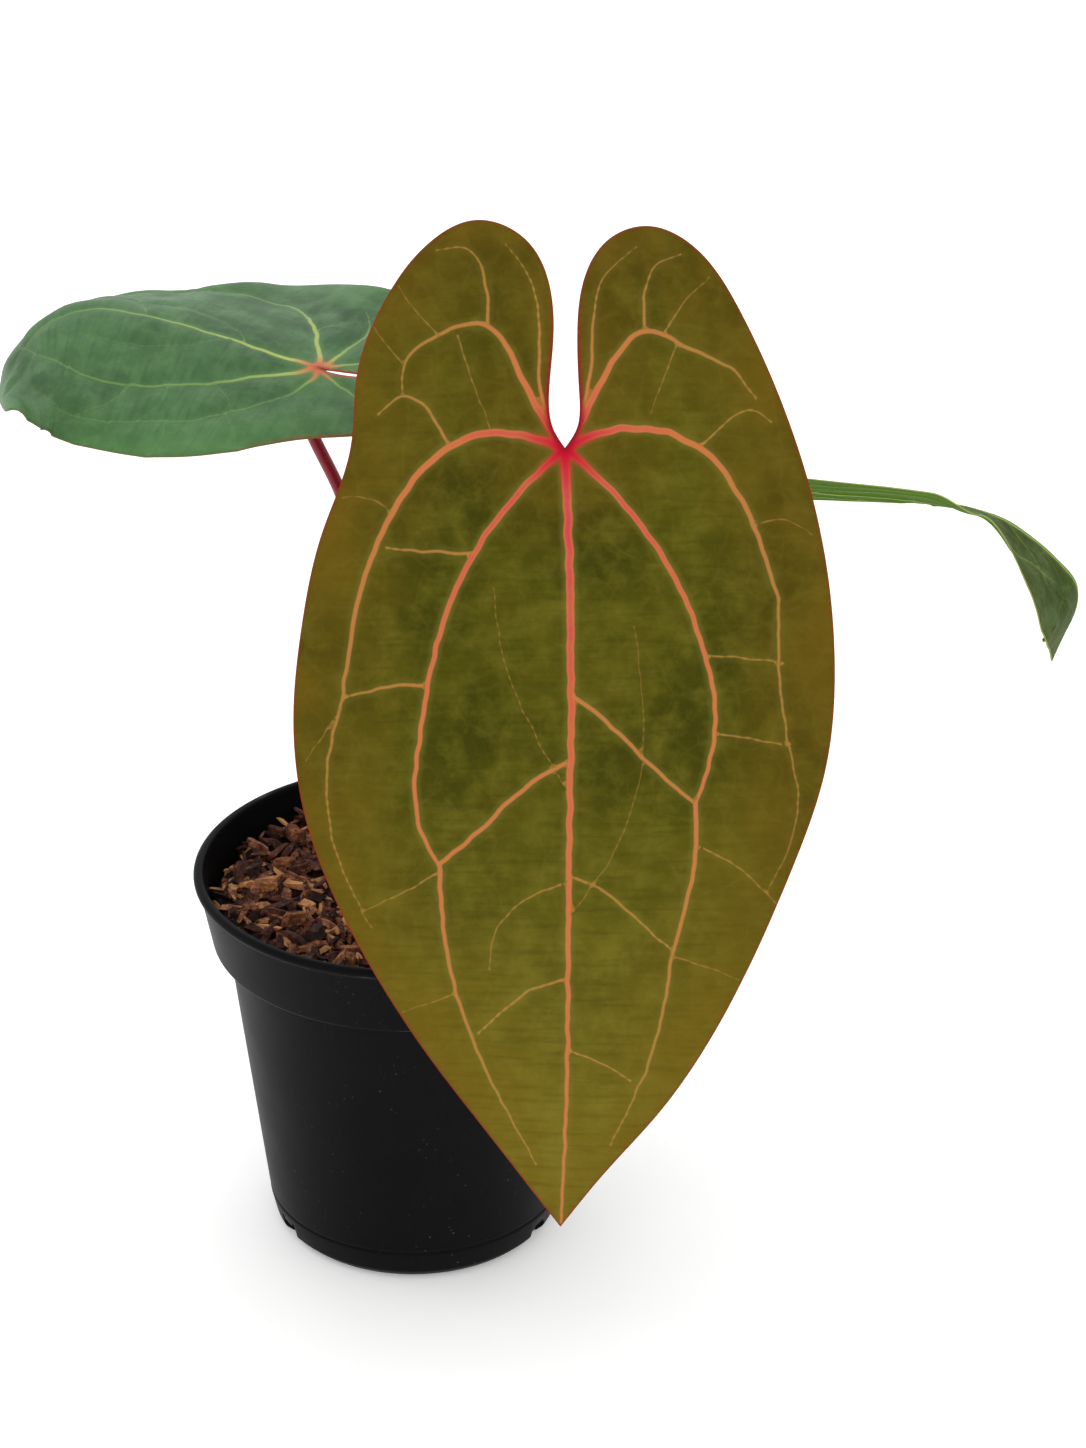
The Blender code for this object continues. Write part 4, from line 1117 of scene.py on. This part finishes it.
# %% Material of the pot
def moulded_polypropylene(name):
    """Black polypropylene: satin; flow marks, scuffs, dust specks, painted edge highlights."""
    made, tree, shader = new_material(name, {"IOR": 1.49, "Specular IOR Level": 0.05})
    coords = add(tree, "ShaderNodeTexCoord", out="Object")
    place = add(tree, "ShaderNodeSeparateXYZ", {0: coords}, "Z")
    cloud = add(tree, "ShaderNodeTexNoise", {"Vector": coords, "Scale": per_size(18),
                                             "Detail": 4.0})
    # long faint drag marks run up the wall
    mapped = add(tree, "ShaderNodeMapping", {"Vector": coords, "Scale": (1, 1, 0.12)})
    drag = add(tree, "ShaderNodeTexNoise", {"Vector": mapped, "Scale": per_size(1.6),
                                            "Detail": 4.0})
    drag = add(tree, "ShaderNodeMapRange", {0: drag, 1: 0.6, 2: 0.8, 4: 0.25})
    # dust lies in patches and more of it low down
    specks = add(tree, "ShaderNodeTexVoronoi", {"Vector": coords, "Scale": per_size(2.2)},
                 "Distance")
    specks = add(tree, "ShaderNodeMapRange", {0: specks, 1: 0.16, 2: 0.06})
    patch = add(tree, "ShaderNodeTexNoise", {"Vector": coords, "Scale": per_size(16),
                                             "Detail": 3.0})
    patch = add(tree, "ShaderNodeMapRange", {0: patch, 1: 0.52, 2: 0.72})
    low = add(tree, "ShaderNodeMapRange", {0: place, 1: 0.09, 2: 0.01, 3: 0.25, 4: 0.75})
    dust = add(tree, "ShaderNodeMath", {0: specks, 1: patch}, operation="MULTIPLY")
    dust = add(tree, "ShaderNodeMath", {0: dust, 1: low}, operation="MULTIPLY")
    # sharp edges are painted a little greyer: a painted highlight along the moulded edges
    painted_edge_highlight = add(tree, "ShaderNodeNewGeometry", out="Pointiness")
    painted_edge_highlight = add(tree, "ShaderNodeMapRange", {0: painted_edge_highlight, 1: 0.53, 2: 0.62, 4: 0.7})
    color = layered(tree, "#060607", [(cloud, "#0e0e10"), (drag, "#19191c"),
                                      (dust, "#77736b"), (painted_edge_highlight, "#38383b")])
    rough = add(tree, "ShaderNodeMapRange", {0: cloud, 3: 0.36, 4: 0.52})
    rough = add(tree, "ShaderNodeMath", {0: rough, 1: dust}, operation="ADD")
    grain = add(tree, "ShaderNodeTexNoise", {"Vector": coords, "Scale": per_size(0.7)})
    height = add(tree, "ShaderNodeMath", {0: drag, 1: 1.5, 2: grain},
                 operation="MULTIPLY_ADD")
    wire_shader(tree, shader, color, rough, height, 0.18, 0.15)
    return made


pot.data.materials.clear()
pot.data.materials.append(moulded_polypropylene("black_moulded_polypropylene"))
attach(pot, "root")
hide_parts("nursery_pot")
print("pot done")

# %% [markdown]
# ## Step 6: bark mix
#
# The plant grows in coarse shredded bark. What we see is a layer of loose
# slivers over a dark bed. Placing a thousand slivers by hand is hopeless, so
# Geometry Nodes scatter them: points are spread over the bed, each point gets
# one of a few sliver shapes, and each gets its own turn, size and tint.

# %% The bed under the slivers
MIX_TOP, MIX_HUMP, FIT_GAP = 102.0, 1.0, 0.3
BED_SINK = 1.8                     # leaves room above the bed for loose slivers
BANK_HEIGHT, BANK_START, BANK_WIDTH = 1.8, 42.0, 12.0  # bark heaped against the wall
LUMP_HEIGHT, LUMP_SIZE = 1.2, 5.0
BED_RADIUS, BED_TURNS, BED_RINGS = 56.0, 96, 22
BED_GAP = 0.5                      # between the bed and the pot's wall


def inner_radius(height):
    """Radius of the pot's inner face at a height."""
    radii, heights = zip(*inner[::-1])
    return float(np.interp(height, heights[1:], radii[1:]))


def bed_height(radius, turn):
    """Height of the bed: a low hump, a bank at the wall, and small lumps."""
    hump = MIX_HUMP * max(0.0, 1 - radius / BED_RADIUS) - BED_SINK
    bank = BANK_HEIGHT * min(1.0, max(0.0, (radius - BANK_START) / BANK_WIDTH))
    place = Vector((radius * math.cos(turn) / LUMP_SIZE,
                    radius * math.sin(turn) / LUMP_SIZE, 2.0))
    return MIX_TOP + hump + bank + LUMP_HEIGHT * noise.noise(place)


def make_bed():
    """A solid of bark that fills the pot up to its uneven top."""
    section = [(0, FLOOR_THICKNESS + 0.6)]
    section += [(r - BED_GAP, z + 0.6) for r, z in inner[::-1][1:4]]
    section += [(inner_radius(z) - BED_GAP, z) for z in (30, 50, 70, 85, MIX_TOP - 3)]
    edge = inner_radius(MIX_TOP - 3) - BED_GAP
    section += [(edge * (1 - k / BED_RINGS), MIX_TOP) for k in range(1, BED_RINGS)]
    section.append((0, MIX_TOP))
    bed = turned("bark_bed", section, BED_TURNS)
    for v in bed.data.vertices:
        radius = math.hypot(v.co.x, v.co.y) / MM
        if v.co.z > (MIX_TOP - 0.5) * MM:
            v.co.z = bed_height(radius, math.atan2(v.co.y, v.co.x)) * MM
    bed.data.update()
    report(bed, "potting_mix")
    return bed


bed = make_bed()


# %% Sliver shapes: length, width and thickness
SLIVERS = ((9.0, 2.4, 1.3), (7.0, 2.8, 1.5), (10.5, 2.0, 1.2), (5.5, 2.6, 1.7),
           (8.0, 1.5, 1.1))


def make_sliver(k, length, width, height):
    """A splintered chip of bark: a box, split, twisted and torn at its ends."""
    rng = random.Random(SEED + k)
    work = bmesh.new()
    bmesh.ops.create_cube(work, size=1)
    long_edges = [e for e in work.edges if abs(e.verts[0].co.x - e.verts[1].co.x) > 0.5]
    bmesh.ops.subdivide_edges(work, edges=long_edges, cuts=3)
    for v in work.verts:
        end = abs(v.co.x) * 2
        thin = 1 - 0.45 * end**2 * rng.uniform(0.4, 1.3)
        v.co.y *= thin * rng.uniform(0.75, 1.15)
        v.co.z *= thin * rng.uniform(0.7, 1.2)
        v.co.x *= 1 + 0.16 * rng.uniform(-1, 1) * (end > 0.9)
        v.co.z += 0.5 * v.co.x**2 * rng.choice((-1, 1)) * (k % 2)
        turn = v.co.x * 0.7 * (1 if k % 3 else -1)
        v.co.yz = (v.co.y * math.cos(turn) - v.co.z * math.sin(turn),
                   v.co.y * math.sin(turn) + v.co.z * math.cos(turn))
        v.co.x, v.co.y, v.co.z = v.co.x * length, v.co.y * width, v.co.z * height
    bmesh.ops.recalc_face_normals(work, faces=work.faces)
    points = [tuple(v.co) for v in work.verts]
    faces = [[v.index for v in f.verts] for f in work.faces]
    work.free()
    return mesh_piece(f"sliver_{k + 1}", points, faces, smooth=False)


slivers = [make_sliver(k, *size) for k, size in enumerate(SLIVERS)]
print(len(slivers), "sliver shapes of", len(slivers[0].data.polygons), "faces")


# %% Material of the bark
def torn_bark(name, dark, middle_tone, pale, tinted):
    """Dry conifer bark: matt, fibrous, from near black to orange tan."""
    made, tree, shader = new_material(name, {"IOR": 1.4, "Specular IOR Level": 0.3})
    coords = add(tree, "ShaderNodeTexCoord", out="Object")
    grain = add(tree, "ShaderNodeTexNoise", {"Vector": coords, "Scale": per_size(1.5),
                                             "Detail": 6.0, "Roughness": 0.65})
    broad = add(tree, "ShaderNodeTexNoise", {"Vector": coords, "Scale": per_size(5),
                                             "Detail": 2.0})
    tone = add(tree, "ShaderNodeMapRange", {0: broad, 1: 0.35, 2: 0.65, 3: -0.12, 4: 0.22})
    if tinted:
        own = add(tree, "ShaderNodeAttribute", out="Fac", attribute_name="tint")
        tone = add(tree, "ShaderNodeMath", {0: own, 1: tone}, operation="ADD")
    else:
        tone = add(tree, "ShaderNodeMath", {0: tone, 1: 0.35}, operation="ADD")
    fibres = add(tree, "ShaderNodeMapRange", {0: grain, 1: 0.3, 2: 0.7, 3: -0.3, 4: 0.3})
    tone = add(tree, "ShaderNodeMath", {0: tone, 1: fibres}, operation="ADD")
    ramp = tree.nodes.new("ShaderNodeValToRGB")
    for place, color in ((0.0, dark), (0.45, middle_tone), (0.8, pale), (1.0, "#bd8658")):
        stop = ramp.color_ramp.elements.new(place) if 0 < place < 1 else (
            ramp.color_ramp.elements[0 if place == 0 else -1])
        stop.color = linear(color)
    tree.links.new(tone, ramp.inputs[0])
    rough = add(tree, "ShaderNodeMapRange", {0: grain, 3: 0.7, 4: 0.95})
    wire_shader(tree, shader, ramp.outputs[0], rough, grain, 0.8, 0.5)
    return made


loose_bark = torn_bark("shredded_bark", "#1e0e0b", "#5e3226", "#9c6648", True)
bed.data.materials.append(torn_bark("bark_dust", "#0c0706", "#1f110c", "#3a2218", False))
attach(bed, "root")
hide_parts("potting_mix")
print("bark colours ready; the bed stands for potting_mix")


# %% Geometry Nodes: scatter the slivers
SCATTER_INPUTS = {"Geometry": "Geometry", "Density": "Float", "Clear radius": "Float",
                  "Outer radius": "Float", "Tilt": "Float", "Pile height": "Float",
                  "Seed": "Int"}
HALF_TURN, WHOLE_TURN = 3.14, 6.28     # radians
SHRINK_FROM, SHRINK_TO = 48.0, 54.8    # mm from the axis, where slivers get smaller


def scatter_tree(shapes, paint):
    """Points on a ground's upper faces, each with one of the shapes on it."""
    tree = bpy.data.node_groups.new("scatter_slivers", "GeometryNodeTree")
    for name, kind in SCATTER_INPUTS.items():
        tree.interface.new_socket(name, in_out="INPUT", socket_type=f"NodeSocket{kind}")
    tree.interface.new_socket("Geometry", in_out="OUTPUT", socket_type="NodeSocketGeometry")
    given = tree.nodes.new("NodeGroupInput").outputs
    place = add(tree, "GeometryNodeInputPosition")
    flat = add(tree, "ShaderNodeVectorMath", {0: place, 1: (1, 1, 0)},
               operation="MULTIPLY")
    radius = add(tree, "ShaderNodeVectorMath", {0: flat}, "Value", operation="LENGTH")
    facing = add(tree, "GeometryNodeInputNormal")
    up = add(tree, "ShaderNodeSeparateXYZ", {0: facing}, "Z")
    is_top = add(tree, "FunctionNodeCompare", {0: up, 1: 0.5}, operation="GREATER_THAN")
    out_there = add(tree, "FunctionNodeCompare", {0: radius, 1: given["Clear radius"]},
                    operation="GREATER_THAN")
    within = add(tree, "FunctionNodeCompare", {0: radius, 1: given["Outer radius"]},
                 operation="LESS_THAN")
    ring = add(tree, "FunctionNodeBooleanMath", {0: out_there, 1: within})
    chosen = add(tree, "FunctionNodeBooleanMath", {0: ring, 1: is_top})
    points = add(tree, "GeometryNodeDistributePointsOnFaces",
                 {"Mesh": given["Geometry"], "Selection": chosen,
                  "Density": given["Density"], "Seed": given["Seed"]}, "Points")
    lift_by = add(tree, "FunctionNodeRandomValue",
                  {2: -0.5 * MM, 3: given["Pile height"], "Seed": 11}, 1,
                  data_type="FLOAT")
    lift = add(tree, "ShaderNodeCombineXYZ", {"Z": lift_by})
    points = add(tree, "GeometryNodeSetPosition", {"Geometry": points, "Offset": lift})
    bag = tree.nodes.new("GeometryNodeGeometryToInstance")
    for shape in shapes[::-1]:
        part = add(tree, "GeometryNodeObjectInfo", {"Object": shape}, "Geometry")
        tree.links.new(part, bag.inputs[0])
    pick = add(tree, "FunctionNodeRandomValue", {4: 0, 5: len(shapes) - 1, "Seed": 21}, 2,
               data_type="INT")
    low_tilt = add(tree, "ShaderNodeMath", {0: given["Tilt"], 1: -1.0},
                   operation="MULTIPLY")
    low = add(tree, "ShaderNodeCombineXYZ", {"X": -HALF_TURN, "Y": low_tilt, "Z": 0.0})
    high = add(tree, "ShaderNodeCombineXYZ", {"X": HALF_TURN, "Y": given["Tilt"],
                                              "Z": WHOLE_TURN})
    spin = add(tree, "FunctionNodeRandomValue", {0: low, 1: high, "Seed": 31}, 0,
               data_type="FLOAT_VECTOR")
    size = add(tree, "FunctionNodeRandomValue", {2: 0.7, 3: 1.25, "Seed": 41}, 1,
               data_type="FLOAT")
    shrink = add(tree, "ShaderNodeMapRange", {0: radius, 1: SHRINK_FROM * MM,
                                              2: SHRINK_TO * MM, 3: 1.0, 4: 0.5})
    size = add(tree, "ShaderNodeMath", {0: size, 1: shrink}, operation="MULTIPLY")
    placed = add(tree, "GeometryNodeInstanceOnPoints",
                 {"Points": points, "Instance": bag.outputs[0], "Pick Instance": True,
                  "Instance Index": pick, "Rotation": spin, "Scale": size})
    tint = add(tree, "FunctionNodeRandomValue", {2: 0.0, 3: 1.0, "Seed": 51}, 1,
               data_type="FLOAT")
    tint = add(tree, "ShaderNodeMath", {0: tint, 1: 1.7}, operation="POWER")
    placed = add(tree, "GeometryNodeStoreNamedAttribute",
                 {"Geometry": placed, "Name": "tint", "Value": tint},
                 data_type="FLOAT", domain="INSTANCE")
    real = add(tree, "GeometryNodeRealizeInstances", {"Geometry": placed})
    real = add(tree, "GeometryNodeSetMaterial", {"Geometry": real, "Material": paint})
    tree.links.new(real, tree.nodes.new("NodeGroupOutput").inputs[0])
    return tree


def scattered(name, ground, tree, sizes):
    """Run the scatter on a copy of the ground and keep only its plain mesh."""
    made = bpy.data.objects.new(name, ground.data.copy())
    bpy.context.collection.objects.link(made)
    step = made.modifiers.new("scatter", "NODES")
    step.node_group = tree
    for socket in tree.interface.items_tree:
        if socket.name in sizes and socket.in_out == "INPUT":
            step[socket.identifier] = sizes[socket.name]
    frozen(made)
    made.data.name = name
    return made


bark_tree = scatter_tree(slivers, loose_bark)
slivers_laid = scattered("bark_slivers", bed, bark_tree, {
    "Density": 150000.0, "Clear radius": 11 * MM, "Outer radius": 54.4 * MM, "Tilt": 0.45,
    "Pile height": 2.8 * MM, "Seed": SEED})
for shape in slivers:
    bpy.data.objects.remove(shape)
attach(slivers_laid, "root")
report(slivers_laid, "potting_mix")


# %% Larger chips on top
CHIP_COUNT = 30
CHIP_BUMPS = ((1.1, 0.45), (3.1, 0.4))  # size and height of the roughness, in mm
CHIP_SINK = 0.2                         # keeps a roughened chip as big as a plain one


def chip_detail(name, nodes, slot, tones):
    """Split and roughen copies of the plain chips; one piece per colour."""
    work = bmesh.new()
    for node in nodes:
        work.from_mesh(bpy.data.objects[node].data)
    bmesh.ops.remove_doubles(work, verts=work.verts, dist=0.02 * MM)
    bmesh.ops.subdivide_edges(work, edges=work.edges, cuts=2, use_grid_fill=True)
    bmesh.ops.triangulate(work, faces=work.faces)
    bmesh.ops.recalc_face_normals(work, faces=work.faces)
    work.normal_update()
    moves = []
    for v in work.verts:
        rough = sum(noise.noise(v.co / MM / size) * height for size, height in CHIP_BUMPS)
        moves.append(v.normal * (rough - CHIP_SINK) * MM)
    for v, move in zip(work.verts, moves):
        v.co += move
    mesh = bpy.data.meshes.new(name)
    work.to_mesh(mesh)
    work.free()
    made = bpy.data.objects.new(name, mesh)
    bpy.context.collection.objects.link(made)
    mesh.materials.append(torn_bark(f"bark_{slot}", *tones, False))
    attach(made, "root")
    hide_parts(*nodes)
    print(name, "stands for", len(nodes), "chips,", len(mesh.polygons), "faces")


CHIP_TONES = {"chip_red": ("#2e1712", "#6b3a28", "#a8704a"),
              "chip_tan": ("#3a2216", "#8a5434", "#c08850"),
              "chip_dark": ("#120b09", "#33201a", "#6b4632")}
for k, (slot, tones) in enumerate(CHIP_TONES.items()):
    numbers = range(k + 1, CHIP_COUNT + 1, len(CHIP_TONES))
    chip_detail(f"large_{slot}", [f"bark_chip_{i:02d}" for i in numbers], slot, tones)

# %% [markdown]
# ## Step 7: stem, sheaths and roots
#
# The stem is short and woody, ringed where old leaves have dropped. Dry sheaths
# that once wrapped new leaves stand round it like torn paper. Roots stay under
# the bark, so they keep the CAD shape and only get a better surface.

# %% Stem with leaf scars
STEM_RADIUS, STEM_TOP, STEM_BASE = 7.5, 103.7, 68.7
STEM_ROWS, STEM_TURNS = 70, 72
SCAR_DEPTH = 0.5


def make_stem():
    """A woody stem, ringed by scars and a little out of round."""
    section = [(0, STEM_BASE)]
    for k in range(STEM_ROWS + 1):
        share = k / STEM_ROWS
        scars = SCAR_DEPTH * abs(math.sin(share * 12)) ** 3
        taper = 0.72 + 0.25 * min(1, share * 8) - 0.1 * max(0.0, share - 0.9) / 0.1
        height = STEM_BASE + share * (STEM_TOP - STEM_BASE)
        section.append((STEM_RADIUS * taper - scars, height))
    section.append((0, STEM_TOP))
    stem = turned("woody_stem", section, STEM_TURNS)
    for v in stem.data.vertices:
        rough = 0.35 * noise.noise(v.co / MM / 2.3)
        v.co.x, v.co.y = v.co.x * (1 + rough / 7), v.co.y * (1 + rough / 7)
    report(stem, "stem")
    return stem


# %% Papery sheaths
SHEATH_WIDTH, SHEATH_HEIGHT, SHEATH_RADIUS = 7.0, 24.0, 10.0
SHEATH_THICKNESS, SHEATH_LEAN = 0.35, 3.5
SHEATH_ROWS, SHEATH_COLS = 40, 22


def make_sheath(k):
    """A curled tongue with lengthwise ribs and a torn tip, closed all round."""
    turn = math.pi * (0.35 + 2 * k / 3)
    height = SHEATH_HEIGHT * (1 - 0.22 * k)
    foot = MIX_TOP + MIX_HUMP + FIT_GAP
    rows, cols = SHEATH_ROWS, SHEATH_COLS
    verts = []
    for skin in (0, 1):
        for i in range(rows):
            up = i / (rows - 1)
            for j in range(cols):
                s = j / (cols - 1) * 2 - 1
                torn = 0.9 * noise.noise(Vector((s * 3, k, 0))) * up**6
                half = SHEATH_WIDTH / 2 * (1 - 0.85 * up**1.8)
                rib = 0.10 * math.sin(s * 24) + 0.25 * noise.noise(Vector((s, up * 3, k)))
                lean = SHEATH_RADIUS + SHEATH_LEAN * up**1.5 + 0.35 + rib
                lean += (skin - 0.5) * SHEATH_THICKNESS + 0.5 * s * s * (1 - up)
                bend = turn + s * half / SHEATH_RADIUS
                verts.append((lean * math.cos(bend), lean * math.sin(bend),
                              foot + height * up + torn))
    n = rows * cols
    faces = []
    for i in range(rows - 1):
        for j in range(cols - 1):
            a = i * cols + j
            faces += [(a, a + cols, a + cols + 1, a + 1)]
            faces += [(a + n, a + n + 1, a + n + cols + 1, a + n + cols)]
    border = list(range(cols)) + [i * cols + cols - 1 for i in range(1, rows)]
    border += [(rows - 1) * cols + j for j in range(cols - 2, -1, -1)]
    border += [i * cols for i in range(rows - 2, 0, -1)]
    faces += [(a, b, b + n, a + n) for a, b in zip(border, border[1:] + border[:1])]
    sheath = mesh_piece(f"dry_sheath_{k + 1}", verts, faces)
    report(sheath, f"sheath_{k + 1}")
    return sheath


# %% Material of stem, sheaths and roots
def plant_fibre(name, dark, pale, size, stretch, rough):
    """Dry plant fibre: matt, with streaks of dark and pale strands."""
    made, tree, shader = new_material(name, {"IOR": 1.4, "Specular IOR Level": 0.35})
    coords = add(tree, "ShaderNodeTexCoord", out="Object")
    mapped = add(tree, "ShaderNodeMapping", {"Vector": coords, "Scale": stretch})
    streak = add(tree, "ShaderNodeTexNoise", {"Vector": mapped, "Scale": per_size(size),
                                              "Detail": 6.0, "Roughness": 0.6})
    share = add(tree, "ShaderNodeMapRange", {0: streak, 1: 0.3, 2: 0.7})
    spots = add(tree, "ShaderNodeTexNoise", {"Vector": coords, "Scale": per_size(3)})
    spots = add(tree, "ShaderNodeMapRange", {0: spots, 1: 0.6, 2: 0.72, 4: 0.6})
    color = layered(tree, dark, [(share, pale), (spots, dark)])
    shine = add(tree, "ShaderNodeMapRange", {0: streak, 3: rough - 0.1, 4: rough + 0.1})
    wire_shader(tree, shader, color, shine, streak, 0.6, 0.3)
    return made


# %% Put them in place
stem = make_stem()
stem.data.materials.append(plant_fibre("corky_stem", "#2e2012", "#7a6238", 1.6,
                                       (1, 1, 1.6), 0.8))
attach(stem, "root")
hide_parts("stem")

straw = plant_fibre("papery_sheath", "#5a3818", "#b98d55", 0.9, (1, 1, 0.12), 0.7)
for k in range(3):
    sheath = make_sheath(k)
    sheath.data.materials.append(straw)
    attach(sheath, "root")
    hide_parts(f"sheath_{k + 1}")

root_skin = plant_fibre("velamen_root", "#6b5a3a", "#cbb98e", 1.2, (1, 1, 0.5), 0.75)
for k in range(6):
    root = bpy.data.objects[f"root_{k + 1}"]
    root.data.materials.clear()
    root.data.materials.append(root_skin)
print("stem, 3 sheaths and 6 roots done")

# %% [markdown]
# ## Step 8: check the size and finish
#
# The detailed pieces have to stay the size of the CAD model.

# %% Print how far the pieces grew past the CAD box
visual_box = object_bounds()
grown = [[round((a - b) / MM, 1) for a, b in zip(*pair)] for pair in zip(visual_box, cad_box)]
print("visual box less CAD box in mm:", grown)
